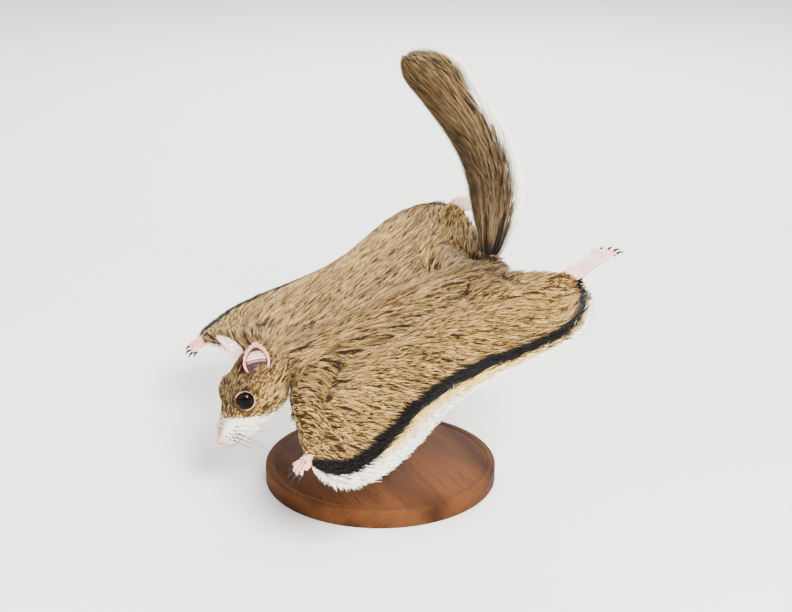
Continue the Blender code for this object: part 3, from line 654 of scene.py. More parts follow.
def trianglesMesh(name, verts, triangles):
    mesh = bpy.data.meshes.new(name)
    mesh.vertices.add(len(verts))
    mesh.vertices.foreach_set("co", verts.astype(np.float32).ravel())
    mesh.loops.add(triangles.size)
    mesh.loops.foreach_set("vertex_index", triangles.astype(np.int32).ravel())
    mesh.polygons.add(len(triangles))
    mesh.polygons.foreach_set("loop_start", np.arange(0, triangles.size, 3, dtype=np.int32))
    mesh.update(calc_edges=True)
    return mesh


def skinSamples(mesh, seed, density):
    # places spread over a mesh, with a wanted number to a square millimetre at each triangle
    mesh.calc_loop_triangles()
    corners = np.zeros(len(mesh.loop_triangles) * 3, np.int32)
    mesh.loop_triangles.foreach_get("vertices", corners)
    corners = corners.reshape(-1, 3)
    points, normals = vertexArray(mesh), vertexArray(mesh, "normal")
    a, b, c = (points[corners[:, k]] for k in range(3))
    area = np.linalg.norm(np.cross(b - a, c - a), axis=1) / 2 / mm**2
    middle, facing = (a + b + c) / 3, unit(np.cross(b - a, c - a))
    wanted = area * density(middle, facing)
    draw = np.random.default_rng(seed)
    count = int(wanted.sum())
    chosen = np.searchsorted(np.cumsum(wanted), draw.random(count) * wanted.sum())
    chosen = np.minimum(chosen, len(corners) - 1)
    first, second = draw.random(count), draw.random(count)
    over = first + second > 1
    first[over], second[over] = 1 - first[over], 1 - second[over]
    weights = np.stack([1 - first - second, first, second], axis=1)[:, :, None]
    spots = (points[corners[chosen]] * weights).sum(axis=1)
    ways = unit((normals[corners[chosen]] * weights).sum(axis=1))
    return spots, ways, draw


def bakeSpots(mesh, roots, keep):
    # each root's place on an unwrap of the skin's own shape near it
    patch = bmesh.new()
    patch.from_mesh(mesh)
    patch.faces.ensure_lookup_table()
    far = [face for face in patch.faces if not keep[face.index]]
    bmesh.ops.delete(patch, geom=far, context="FACES")
    bmesh.ops.triangulate(patch, faces=patch.faces)
    chart = linked("chart", asMesh(patch, "chart", outward=False))
    bpy.context.view_layer.objects.active = chart
    chart.select_set(True)
    bpy.ops.object.mode_set(mode="EDIT")
    bpy.ops.mesh.select_all(action="SELECT")
    bpy.ops.uv.smart_project(angle_limit=math.radians(66), island_margin=0.01)
    bpy.ops.object.mode_set(mode="OBJECT")
    data = chart.data
    points = vertexArray(data)
    corners = faceArray(data, "vertices")
    flat = np.zeros(len(data.loops) * 2, np.float32)
    data.uv_layers.active.data.foreach_get("uv", flat)
    flat = flat.reshape(-1, 3, 2)
    tree = surfaceOf(data)
    found = [tree.find_nearest(Vector(root)) for root in roots]
    index = np.array([hit[2] for hit in found])
    spots = np.array([tuple(hit[0]) for hit in found])
    a, b, c = (points[corners[index, k]] for k in range(3))
    whole = np.cross(b - a, c - a)
    size = np.maximum((whole**2).sum(axis=1), 1e-30)
    second = (np.cross(spots - a, c - a) * whole).sum(axis=1) / size
    third = (np.cross(b - a, spots - a) * whole).sum(axis=1) / size
    weights = np.clip(np.stack([1 - second - third, second, third], axis=1), 0, 1)
    bpy.data.objects.remove(chart)
    return (flat[index] * weights[:, :, None]).sum(axis=1)


bakePatch = 0.003


def makeCoat(name, blades, marks, spots):
    # one piece of coat from blades, with its marks and the map that its colours are baked by
    verts, triangles, each = bladeArrays(*blades)
    mesh = trianglesMesh(name, verts, triangles)
    count, steps = blades[0].shape[:2]
    along = np.append(np.repeat(np.arange(steps - 1) / (steps - 1), 3), 1.0)
    setMarks(mesh, {key: np.repeat(values, each) for key, values in marks.items()})
    setMarks(mesh, {"along": np.tile(along, count)})
    across = np.append(np.tile([-0.5, 0.5, 0.0], steps - 1), 0.0)
    local = np.stack([across, along - 0.5], axis=1) * bakePatch
    flat = (spots[:, None] + local[None]).reshape(-1, 2)
    layer = mesh.uv_layers.new(name="OFBake")
    layer.data.foreach_set("uv", flat[triangles.ravel()].astype(np.float32).ravel())
    makePiece(name, mesh, furFinish)
    print(name + ":", len(triangles), "triangles")


def makeCoats(names, blades, marks, spotsOf):
    # one piece of coat for each name, with the blades that bear it
    for name in sorted(set(names)):
        own = names == name
        ownMarks = {key: values[own] for key, values in marks.items()}
        makeCoat(name, [values[own] for values in blades], ownMarks, spotsOf(name, own))


coatForm = {
    "upper": 2.3,  # tufts to a square millimetre
    "under": 1.2,
    "head": 3.4,
    "body length": 6.6,
    "neck length": 11,
    "neck": (113, 18, -6),  # body's axes, where the hair is longest
    "before the ear": (10, 11.5, 7.5),  # head's axes, where it is short
    "bare round the eye": 5.4,
    "bare round the nose": 2.7,
    "runs": {"share": 0.105, "steps": 8, "reach": 1.4, "pull": 0.75},
    "locks": (3.6, 0.2),  # millimetres between the tips that hair gathers to, and how far
    "half width": 0.21,
    "half depth": 0.10,
    "root lift": 20,  # degrees from the skin
    "tip lift": 6,
}


def tuftDensity(points, normals):
    body, head = seenIn(bodyFrame, points), seenIn(headFrame, points)
    up, onHead = normals @ bodyTurn[:, 2], headShare(body)
    density = coatForm["under"] + (coatForm["upper"] - coatForm["under"]) * eased(up, -0.3, 0.2)
    density = density * (1 - onHead) + coatForm["head"] * onHead
    density *= (1 - tailShare(body)) ** 4
    for side in (1, -1):
        density *= gapTo(head, sided(eye["place"], side)) > coatForm["bare round the eye"]
    return density * (gapTo(head, noseTip) > coatForm["bare round the nose"])


def tuftLength(body, head, onHead):
    length = np.full(len(body), coatForm["body length"])
    face = np.interp(head[:, 0], [-6, 4, 14, 24, 32, 38, 42], [5.0, 3.8, 3.0, 2.2, 1.5, 1.1, 0.7])
    length = np.minimum(length, 2.4 + 4.2 * eased(limbGap(body), 4, 26))
    length = length * (1 - onHead) + face * onHead
    for side in (1, -1):
        gap = gapTo(body, sided(coatForm["neck"], side))
        length = np.maximum(length, coatForm["neck length"] * (1 - eased(gap, 6, 14)))
        gap = gapTo(head, sided(coatForm["before the ear"], side))
        length = np.minimum(length, 1.7 + 6 * eased(gap, 5, 12))
    return length


def treeOf(points):
    tree = KDTree(len(points))
    for i, point in enumerate(points.tolist()):
        tree.insert(point, i)
    tree.balance()
    return tree


def nearestIn(tree, points):
    return np.array([tree.find(point)[1] for point in points.tolist()])


def gathered(tips, lengths, spacing, pull, draw):
    # pulls neighbouring tips together into locks, less where the hair is short
    count = max(int(len(tips) * 0.45 / spacing**2), 1)
    centres = tips[draw.choice(len(tips), count, replace=False)]
    share = pull * draw.uniform(0.6, 1.3, len(tips))
    move = (centres[nearestIn(treeOf(centres), tips)] - tips) * share[:, None]
    far = np.maximum(np.linalg.norm(move, axis=1), 1e-9)
    return tips + move * np.minimum(1, 0.15 * lengths * mm / far)[:, None]


def runShades(lines, draw):
    # a shade for each run of hair, unlike those of the runs beside it
    steps, count = lines.shape[:2]
    tree = treeOf(lines.reshape(-1, 3))
    classes = np.full(count, -1)
    levels = (0.03, 0.28, 0.52, 0.8)
    for i in draw.permutation(count):
        used = [0.0] * len(levels)
        for step in (1, steps // 2, steps - 2):
            for _, j, gap in tree.find_n(lines[step, i].tolist(), 20):
                beside = classes[j % count]
                if beside >= 0 and j % count != i:
                    used[beside] += 1 / (gap / mm + 0.3)
        classes[i] = np.argmin(np.array(used) + 1e-3 * draw.random(len(levels)))
    return np.array(levels)[classes]


def combed(tips, ways, normals, lengths, runs, draw):
    # draws tips sideways to narrow runs that follow the lie, and gives each run's shade
    chance = lengths**-0.3
    count = int(runs["share"] * len(tips))
    index = draw.choice(len(tips), count, replace=False, p=chance / chance.sum())
    tree, spots, lines = treeOf(tips), tips[index], []
    for step in range(runs["steps"]):
        lines.append(spots)
        spots = spots + ways[index] * (lengths[index] * runs["reach"] / runs["steps"] * mm)[:, None]
        index = nearestIn(tree, spots)
        above = ((spots - tips[index]) * normals[index]).sum(axis=1, keepdims=True)
        spots = spots - normals[index] * above
    lines = np.stack(lines)
    shades = runShades(lines, draw)
    lines = lines.reshape(-1, 3)
    nearest = nearestIn(treeOf(lines), tips)
    sides = np.cross(ways, normals)
    most = np.minimum(1, 0.14 * lengths) * mm
    shift = np.clip(((lines[nearest] - tips) * sides).sum(axis=1), -most, most)
    tips = tips + sides * (shift * runs["pull"] * draw.uniform(0.6, 1.2, len(tips)))[:, None]
    return tips, shades[nearest % count] + 0.2 * draw.random(len(tips))


def tuftBlades(points, normals, ways, lengths, form, draw, widths=1.0):
    # bent blades that rise from the skin and lie down towards their tips
    count = len(points)
    side = np.cross(ways, normals)
    turn = draw.normal(0, 0.09, count)[:, None]
    ways = unit(ways * np.cos(turn) + side * np.sin(turn))
    side = np.cross(ways, normals)
    first = np.radians(form["root lift"] * draw.uniform(0.7, 1.3, count))[:, None]
    second = np.radians(form["tip lift"] * draw.uniform(0.4, 1.8, count))[:, None]
    long = (lengths * draw.uniform(0.72, 1.15, count) * mm)[:, None]
    middle = points + (ways * np.cos(first) + normals * np.sin(first)) * long * 0.45
    tips = middle + (ways * np.cos(second) + normals * np.sin(second)) * long * 0.55
    tips, shade = combed(tips, ways, normals, lengths, form["runs"], draw)
    tips = gathered(tips, lengths, *form["locks"], draw)
    roots = points - normals * 0.15 * mm
    stations = np.stack([roots, middle, tips], axis=1)
    wide = form["half width"] * draw.uniform(0.7, 1.25, count) * widths * mm
    deep = form["half depth"] * draw.uniform(0.8, 1.2, count) * widths * mm
    halfWidths = np.stack([wide * 0.8, wide, wide * 0], axis=1)
    halfDepths = np.stack([deep, deep, deep * 0], axis=1)
    sides = np.repeat(side[:, None], 3, axis=1)
    tops = np.repeat(normals[:, None], 3, axis=1)
    return (stations, sides, tops, halfWidths, halfDepths), shade


def regionOf(body, up, onHead):
    names = np.where(body[:, 1] >= 0, "left", "right").astype(object)
    wing = np.abs(body[:, 1]) > 19
    parts = np.full(len(body), "coat_back", object)
    fore = body[:, 0] > 62
    upper = up > -0.05
    parts[wing & fore & upper] = "coat_fore_"
    parts[wing & ~fore & upper] = "coat_rear_"
    parts[wing & ~upper] = "coat_under_"
    parts[wing] = parts[wing] + names[wing]
    parts[~wing & ~upper] = "coat_belly"
    parts[onHead > 0.5] = "coat_head"
    return parts


def makeBodyCoat():
    points, normals, draw = skinSamples(skin.data, 11, tuftDensity)
    body, head = seenIn(bodyFrame, points), seenIn(headFrame, points)
    up, onHead = normals @ bodyTurn[:, 2], headShare(body)
    ways = lieAt(points, normals)
    lengths = tuftLength(body, head, onHead)
    widths = 1 - 0.2 * onHead
    blades, shade = tuftBlades(points, normals, ways, lengths, coatForm, draw, widths)
    speckle = draw.normal(0, 0.9, len(points))
    seen = points + ways * (lengths * 0.6 * mm)[:, None] + draw.normal(0, 0.2 * mm, points.shape)
    marks = markings(seen, normals, speckle)
    marks["shade"] = shade
    chartUp = faceArray(chart, "normal") @ bodyTurn[:, 2]
    chartRegions = regionOf(chartBody, chartUp, headShare(chartBody))
    makeCoats(
        regionOf(body, up, onHead), blades, marks,
        lambda region, own: bakeSpots(chart, points[own], chartRegions == region),
    )


def chartMesh(faces):
    # a coarser copy of the skin, for the unwraps
    holder = linked("chart_form", skin.data.copy())
    thin = holder.modifiers.new("thin", "DECIMATE")
    thin.ratio = faces / len(skin.data.polygons)
    return applied(holder)


chart = chartMesh(20000)
chartBody = seenIn(bodyFrame, faceArray(chart, "center"))
makeBodyCoat()
print("body coat done")

# The tail's hair: blades that leave the core and shingle out to its tips
tailHair = {
    "to a square millimetre": 4.4,
    "reach": (0.115, 0.16),  # share of the tail's length
    "spread": (0.44, 0.74, 0.93, 1.0),  # share of its half width, from root to tip
    "stations": (0.0, 0.3, 0.66, 1.0),
    "half width": 0.24,
    "runs": {"share": 0.08, "steps": 12, "reach": 1.5, "pull": 0.6},
    "darker": 0.93,
    "darker at the root": 0.12,
    "paler": 0.22,
    "broader": (0.68, 0.24),  # towards its tip on the right, and slimmer on its left
    "locks": (4.5, 0.15),
    "pale below": (0.14, 0.42),
    "fringe": 0.2,
}
tailLength = sum((Vector(b) - Vector(a)).length for a, b in zip(tailSpine, tailSpine[1:]))  # mm


def tailAxes(t):
    # the tail's middle, its directions across and up, and its half sizes, in the body's axes
    t = np.where(t > 0.92, 1 - 0.08 * np.exp(-(t - 0.92) / 0.08), t)
    rows = curveAt(tailLine["rows"], t)
    near = np.clip(t, 0.02, 0.98)
    along = unit(curveAt(tailSpine, near + 0.02) - curveAt(tailSpine, near - 0.02))
    across = unit(np.cross(tailUpright, along))
    fuller = 1.05 + 0.22 * eased(t, 0.68, 0.9)[:, None]
    return rows[:, :3], across, np.cross(along, across), rows[:, 3:4] * fuller, rows[:, 4:5] * fuller


def makeTailCoat():
    def density(points, normals):
        body = seenIn(bodyFrame, points)
        where = distanceTo(tailSpine, body)[1]
        return tailShare(body) * tailHair["to a square millimetre"] * (2 - eased(where, 0.1, 0.25))

    points, normals, draw = skinSamples(skin.data, 23, density)
    body = seenIn(bodyFrame, points)
    where = distanceTo(curveAt(tailSpine, np.linspace(0, 1, 90)), body)[1]
    middle, across, top, width, height = tailAxes(where)
    away = body - middle
    angle = np.arctan2((away * top).sum(axis=1) / height[:, 0], (away * across).sum(axis=1) / width[:, 0])
    count = len(points)
    reach = draw.uniform(*tailHair["reach"], count)
    late = eased(where, 0.5, 0.85)
    brown = eased(np.sin(angle) + 0.55 * late + draw.normal(0, 0.07, count), *tailHair["pale below"])
    out = draw.uniform(0.94, 1.05, count) - 0.8 * eased(where, 0.78, 0.92) * draw.random(count) ** 1.3
    out += (1 - brown) * tailHair["fringe"] * np.abs(np.cos(angle)) * draw.random(count)
    drift = draw.normal(0, 0.08, count)
    stations, tops, sides = [], [], []
    for share, spread in zip(tailHair["stations"], tailHair["spread"]):
        middle, across, top, width, height = tailAxes(where + reach * share)
        turn = angle + drift * share
        c, s = np.cos(turn)[:, None], np.sin(turn)[:, None]
        broader = tailHair["broader"][0] * late * np.maximum(0, -np.cos(turn))
        broader -= tailHair["broader"][1] * eased(where, 0.75, 0.95) * np.maximum(0, np.cos(turn))
        stretch = (spread * (1 + (out - 1) * share) * (1 + broader))[:, None]
        stations.append(middle + (across * c * width + top * s * height) * stretch)
        tops.append(unit(across * c / width + top * s / height))
        sides.append(unit(across * -s * width + top * c * height))
    stations = [placed(bodyFrame, rows) for rows in stations]
    tops, sides = ([rows @ bodyTurn.T for rows in ways] for ways in (tops, sides))
    ways = unit(stations[-1] - stations[-2])
    tips, shade = combed(stations[-1], ways, tops[-1], reach * tailLength, tailHair["runs"], draw)
    stations[-1] = gathered(tips, reach * tailLength, *tailHair["locks"], draw)
    stations[-2] = stations[-2] * 0.6 + (stations[-3] * 0.45 + stations[-1] * 0.55) * 0.4
    stations = np.stack(stations, axis=1)
    wide = tailHair["half width"] * draw.uniform(0.7, 1.2, count) * mm
    halfWidths = np.stack([wide * 0.7, wide, wide * 0.7, wide * 0], axis=1)
    blades = (stations, np.stack(sides, axis=1), np.stack(tops, axis=1), halfWidths, halfWidths * 0.45)
    marks = {key: np.zeros(count) for key in furMarks}
    marks["above"] = brown
    marks["dusk"] = 1 - tailHair["paler"] * eased(where, 0.3, 0.65)
    darker = tailHair["darker"] * (1 - tailHair["darker at the root"] * (1 - eased(where, 0.2, 0.5)))
    marks["shade"] = shade * darker
    spots = bakeSpots(chart, points, tailShare(chartBody) > 0.3)
    halves = np.where(where > np.median(where), "coat_tail_tip", "coat_tail_base").astype(object)
    makeCoats(halves, blades, marks, lambda half, own: spots[own])


makeTailCoat()
print("tail coat done")

# The fringe that hangs from the membrane's rim
fringe = {
    "to a millimetre": 15, "length": (4.4, 7.4), "outward": 0.62, "down": 0.4, "back": 0.75,
    "half width": 0.2, "locks": (2.0, 0.45),
    # how much of that length it has along the rim, from wrist to ankle
    "share": [(0, 0.45), (0.1, 0.9), (0.2, 0.38), (0.45, 0.34), (0.6, 0.8), (0.85, 0.9), (1, 0.45)],
}


def makeFringe(side, word):
    draw = np.random.default_rng(31 + side)
    line, u = rimLine(side, 400), np.linspace(0, 1, 400)
    travelled = np.append(0, np.cumsum(np.linalg.norm(np.diff(line, axis=0), axis=1)))
    count = int(travelled[-1] * fringe["to a millimetre"])
    t = np.clip(np.interp(draw.random(count) * travelled[-1], travelled, u), 0.012, 0.985)
    spots, ahead = (
        np.stack([np.interp(place, u, line[:, k]) for k in range(3)], axis=1) for place in (t, t + 0.01)
    )
    along = unit(ahead - spots + 1e-9)
    outward = unit(np.cross(along, (0, 0, 1)) * side)
    spots = spots - outward * draw.uniform(0.6, 2.2, count)[:, None] + draw.normal(0, 0.3, (count, 3))
    way = along * fringe["back"] + outward * fringe["outward"] + np.array((0, 0, -fringe["down"]))
    way = unit(way + draw.normal(0, 0.12, (count, 3)))
    long = draw.uniform(*fringe["length"], count) * np.interp(t, *zip(*fringe["share"]))
    root = placed(bodyFrame, spots)
    way, outward = way @ bodyTurn.T, outward @ bodyTurn.T
    middle = root + way * (long * 0.5 * mm)[:, None]
    tips = middle + unit(way + np.array((0, 0, -0.25))) * (long * 0.5 * mm)[:, None]
    tips, shade = gathered(tips, long, *fringe["locks"], draw), draw.random(count)
    across = unit(np.cross(way, outward))
    sides, tops = (np.repeat(rows[:, None], 3, axis=1) for rows in (across, unit(np.cross(across, way))))
    wide = fringe["half width"] * draw.uniform(0.7, 1.2, count) * mm
    halfWidths = np.stack([wide, wide, wide * 0], axis=1)
    blades = (np.stack([root, middle, tips], axis=1), sides, tops, halfWidths, halfWidths * 0.5)
    marks = {key: np.zeros(count) for key in furMarks}
    marks["cream"], marks["shade"] = np.ones(count), shade
    keep = (chartBody[:, 1] * side > 40) & (rimReach(chartBody)[0] < 9)
    makeCoat("coat_fringe_" + word, blades, marks, bakeSpots(chart, root, keep))


for side, word in bothSides:
    makeFringe(side, word)
print("fringe done")


def wayIn(axes, way):
    return (axes.to_3x3().normalized() @ Vector(way)).normalized()


# Eyes, each with a soft rim of lid
lid = {"half length": 4.85, "half height": 4.5, "push": 2.7, "half thick": 0.42, "half deep": 0.9}
eyeFinish = Finish("eye")
eyeFinish.put(
    colour=eyeFinish.mix(eyeFinish.mark("iris"), colour(4, 3, 3), colour(18, 9, 5)),
    roughness=0.05, specular=0.06,
)
lidFinish = Finish("lid")
lidFinish.put(
    colour=lidFinish.mix(lidFinish.noise(900), colour(132, 108, 80), colour(166, 142, 110)),
    roughness=0.55, normal=lidFinish.bump(lidFinish.noise(2600), 0.3, 0.0002),
)


def makeEye(side, word):
    centre = headFrame @ Vector(sided(eye["place"], side))
    look = wayIn(headFrame, sided(eye["look"], side))
    ball = bmesh.new()
    spot = Matrix.Translation(centre) @ look.to_track_quat("Z", "Y").to_matrix().to_4x4()
    addBall(ball, spot, 64, 40, eye["radius"] * mm)
    mesh = asMesh(ball, "eye_ball_" + word)
    facing = unit(vertexArray(mesh) - np.array(centre)) @ np.array(look)
    setMarks(mesh, {"iris": eased(facing, 0.6, 0.72) * (1 - eased(facing, 0.84, 0.87))})
    makePiece("eye_ball_" + word, mesh, eyeFinish, ["eye_" + word])
    rim = bmesh.new()
    along = wayIn(headFrame, (1, 0, 0))
    along = (along - look * along.dot(look)).normalized()
    over = look.cross(along)
    middle = centre + look * lid["push"] * mm
    loops, segments = [], 72
    for i in range(segments):
        c, s = math.cos(math.tau * i / segments), math.sin(math.tau * i / segments)
        place = middle + (along * c * lid["half length"] + over * s * lid["half height"]) * mm
        place -= look * 0.5 * mm * c * c
        tangent = (over * c * lid["half height"] - along * s * lid["half length"]).normalized()
        loops.append(addCircle(rim, place, tangent, lid["half thick"] * mm, lid["half deep"] * mm, 14, look))
    edges = [ringEdges(loop) for loop in loops]
    for near, far in zip(edges, edges[1:] + edges[:1]):
        bmesh.ops.bridge_loops(rim, edges=list(near | far))
    makePiece("lid_" + word, asMesh(rim, "lid_" + word), lidFinish)


for side, word in bothSides:
    makeEye(side, word)
print("eyes done")

# Ears: a thin cup with a rolled rim, ridged inside and furred behind
ear = {
    "root": (6.0, 9.0, 8.6),
    "lean": {1: (-0.66, 0.27, 0.70), -1: (-0.16, 0.34, 0.86)},
    "open": {1: (0.42, 0.90, -0.05), -1: (0.90, 0.44, 0.0)},
    "height": 18.0,
    "half width": 6.2,
    "cup": 3.4,
    "thickness": 0.75,
    "ridge": 0.16,
    "ridges": 62,
}


def earPoint(s, t, side):
    lean = Vector(ear["lean"][side]).normalized()
    mouth = Vector(ear["open"][side])
    mouth = (mouth - lean * mouth.dot(lean)).normalized()
    across = lean.cross(mouth)
    width = ear["half width"] * (0.62 + 0.38 * math.sin(math.pi * min(1, s / 0.5) / 2))
    width *= max(0.0, 1 - max(0.0, (s - 0.3) / 0.7) ** 1.9) ** 0.7
    bend = math.radians(86 - 40 * s)
    edge = width * math.sin(bend * t) / math.sin(min(bend, math.pi / 2))
    depth = ear["cup"] * (1 - math.cos(bend * t)) * (width / ear["half width"])
    back = -2.2 * math.sin(math.pi * s)
    ridges = ear["ridge"] * math.sin(ear["ridges"] * s) * max(0, 1 - (t / 0.7) ** 2)
    ridges *= max(0, math.sin(math.pi * min(1, s * 1.15)))
    roll = 0.5 * max(0, abs(t) - 0.8) / 0.2
    point = Vector(ear["root"]) + lean * (ear["height"] * s - 2.5) + across * edge
    point += mouth * (depth + back + ridges - roll)
    return headFrame @ Vector(sided(point, side))


earFinish = Finish("ear")
flush = earFinish.noise(260, 4, 0.6)
veins = earFinish.noise(700, 2, 0.7)
earColour = earFinish.mix(flush.between(0.3, 0.7), colour(224, 168, 158), colour(240, 204, 194))
earColour = earFinish.mix(earFinish.mark("rim"), earColour, colour(222, 138, 132))
earColour = earFinish.mix(veins.between(0.56, 0.66) * 0.35, earColour, colour(204, 112, 108))
# painted shade: near-black in the ear's hollow, in the grooves beside its ridges and deep inside towards the
# tip
earColour = earFinish.mix(earFinish.mark("hollowShade"), earColour, colour(44, 16, 16))
earColour = earFinish.mix(earFinish.mark("behind") * 0.7, earColour, colour(242, 214, 204))
earFinish.put(
    colour=earColour, roughness=0.5, specular=0.35, subsurface=0.15, subsurfaceScale=0.002,
    normal=earFinish.bump(veins, 0.35, 0.0003),
)


def makeEar(side, word):
    sheet = bmesh.new()
    bmesh.ops.create_grid(sheet, x_segments=44, y_segments=72, size=1)
    marks = []
    for vert in sheet.verts:
        t, share = vert.co.x, (vert.co.y + 1) / 2
        s = 0.24 * t * t + (0.985 - 0.24 * t * t) * share
        marks.append((s, t))
        vert.co = earPoint(s, t, side)
    sheet.normal_update()
    mouth = wayIn(headFrame, sided(ear["open"][side], side))
    if sum(face.normal.dot(mouth) for face in sheet.faces) < 0:
        bmesh.ops.reverse_faces(sheet, faces=sheet.faces)
    mesh = asMesh(sheet, "ear_sheet", outward=False)
    s, t = np.array(marks).T
    edge = np.hypot(t, np.maximum(0, (s - 0.42) / 0.58))
    # painted shade in the cup: a dark band inside the rim, the deep part near the root, the grooves on one
    # slope of each ridge and the inside of the tip
    hollowShade = np.exp(-(((edge - 0.7) / 0.085) ** 2))
    hollowShade += (1 - eased(s, 0.3, 0.5)) * (1 - eased(np.abs(t), 0.5, 0.8))
    ridgeShade = eased(np.sin(ear["ridges"] * s + 1.6), 0.2, 0.9) * (edge < 0.64) * 0.55
    depth = eased(s, 0.58, 0.74) * (1 - eased(edge, 0.66, 0.76)) * 0.85
    setMarks(mesh, {"hollowShade": np.clip(hollowShade + ridgeShade + depth, 0, 1), "rim": eased(edge, 0.76, 0.9)})
    holder = linked("ear_form", mesh)
    wall = holder.modifiers.new("wall", "SOLIDIFY")
    wall.thickness, wall.offset, wall.use_even_offset = ear["thickness"] * mm, -1, False
    soft = holder.modifiers.new("soft", "SUBSURF")
    soft.levels = soft.render_levels = 1
    mesh = applied(holder)
    behind = vertexArray(mesh, "normal") @ np.array(mouth)
    setMarks(mesh, {"behind": 1 - eased(behind, -0.35, 0.0)})
    return makePiece("ear_cup_" + word, mesh, earFinish, ["ear_" + word])


def makeDown(name, source, density, way, form, marks, seed):
    # short hair over a piece that isn't part of the skin, all lying much the same way
    points, normals, draw = skinSamples(source.data, seed, density)
    ways = np.array(way) - normals * (normals @ np.array(way))[:, None]
    lengths = draw.uniform(*form["length"], len(points))
    blades, shade = tuftBlades(points, normals, unit(ways), lengths, form, draw)
    values = {key: np.full(len(points), marks.get(key, 0.0)) for key in furMarks}
    values["shade"] = shade
    everywhere = np.full(len(source.data.polygons), True)
    makeCoat(name, blades, values, bakeSpots(source.data, points, everywhere))


earDown = {
    "to a square millimetre": 2.6, "length": (1.1, 2.0), "locks": (1.2, 0.2),
    "runs": {"share": 0.2, "steps": 4, "reach": 1.0, "pull": 0.3},
    "half width": 0.13, "half depth": 0.07, "root lift": 18, "tip lift": 5,
}


def makeEarDown(cup, side, word):
    lean, mouth = (wayIn(headFrame, sided(ear[key][side], side)) for key in ("lean", "open"))
    density = lambda points, facing: earDown["to a square millimetre"] * (facing @ np.array(mouth) < -0.1)
    makeDown("coat_ear_" + word, cup, density, lean, earDown, {"pink": 0.55, "above": 0.5}, 41 + side)


for side, word in bothSides:
    makeEarDown(makeEar(side, word), side, word)
print("ears done")

# Nose leather, lips and whiskers
nose = {"radii": (2.0, 2.5, 1.9), "nostril": (44.6, 1.45, 1.4), "nostril radius": 0.75}
noseFinish = Finish("nose leather")
noseColour = noseFinish.mix(noseFinish.noise(500), colour(206, 118, 112), colour(224, 150, 142))
# painted shade in the nostrils and in the cleft between them
noseFinish.put(
    colour=noseFinish.mix(noseFinish.mark("pit"), noseColour, colour(92, 40, 38)),
    roughness=0.42, coat=0.15, normal=noseFinish.bump(noseFinish.noise(3600, 2), 0.5, 0.0002),
)


def makeNose():
    ball = bmesh.new()
    addBall(ball, headFrame @ Matrix.Translation(noseTip) @ Matrix.Diagonal((*nose["radii"], 1)), 72, 36)
    centre, pitShades = headFrame @ Vector(noseTip), []
    for vert in ball.verts:
        spot = headFrame.inverted() @ vert.co
        pit = 0.0
        for side in (1, -1):
            gap = (spot - Vector(sided(nose["nostril"], side))).length / nose["nostril radius"]
            pit = max(pit, math.exp(-gap**4 * 0.7))
        cleft = math.exp(-(spot.y / 0.28) ** 2) * max(0, min(1, (1.9 - spot.z) / 1.0))
        vert.co += (centre - vert.co).normalized() * (0.95 * pit + 0.35 * cleft) * mm
        # the nostrils and the cleft are dented in and also darkened with painted shade
        pitShades.append(max(pit, 0.55 * cleft))
    mesh = asMesh(ball, "nose_leather")
    setMarks(mesh, {"pit": pitShades})
    makePiece("nose_leather", mesh, noseFinish, ["nose"])


makeNose()
skinTree = surfaceOf(skin.data)
mouth = {
    "line": [(30.0, 7.0, -5.2), (35.5, 6.0, -3.8), (40.6, 3.2, -3.0), (42.8, 0.0, -2.2)],
    "half width": 0.34,
}
lipFinish = Finish("lips")
lipFinish.put(
    colour=lipFinish.mix(lipFinish.noise(800), colour(150, 92, 86), colour(176, 112, 104)), roughness=0.5,
)


def onFace(along, left, up, lift=0.0):
    # a point of the skin where the head's axes show that place, raised by so much
    inner = headFrame @ Vector((along - 6, 0, up + 1.5))
    aim = (headFrame @ Vector((along, left, up)) - inner).normalized()
    hit = skinTree.ray_cast(inner + aim * 30 * mm, -aim)[0]
    return hit + aim * lift * mm, aim


def makeMouth():
    rows = mouth["line"] + onSide(mouth["line"][-2::-1], -1)
    points = [onFace(*row, 0.1)[0] for row in curveAt(rows, np.linspace(0, 1, 61))]
    tube = bmesh.new()
    taper = [0.35 + 0.65 * min(1, 6 * min(i, 60 - i) / 60) for i in range(61)]
    addTube(tube, Matrix(), points, [(mouth["half width"] * mm * share,) * 2 for share in taper], 10)
    makePiece("lips", asMesh(tube, "lips"), lipFinish)


makeMouth()

whisker = {
    # the first and last root of each row, and how many it has
    "rows": [
        ((33.6, 7.6, 2.6), (33.6, 7.6, 2.6), 1), ((39.7, 4.8, 3.0), (35.6, 7.3, 2.2), 3),
        ((39.8, 6.0, 1.3), (36.2, 7.3, 0.9), 3), ((39.2, 7.2, -0.4), (35.4, 7.8, -0.5), 3),
    ],
    "lengths": (15, 25),
    "radius": 0.16,
    "root": 0.33,
    "stations": (0, 0.16, 0.33, 0.5, 0.66, 0.82, 1),
}
hornFinish = Finish("dark horn")
hornFinish.put(
    colour=hornFinish.mix(hornFinish.noise(700), colour(16, 12, 11), colour(34, 26, 22)),
    roughness=0.4, specular=0.12,
)


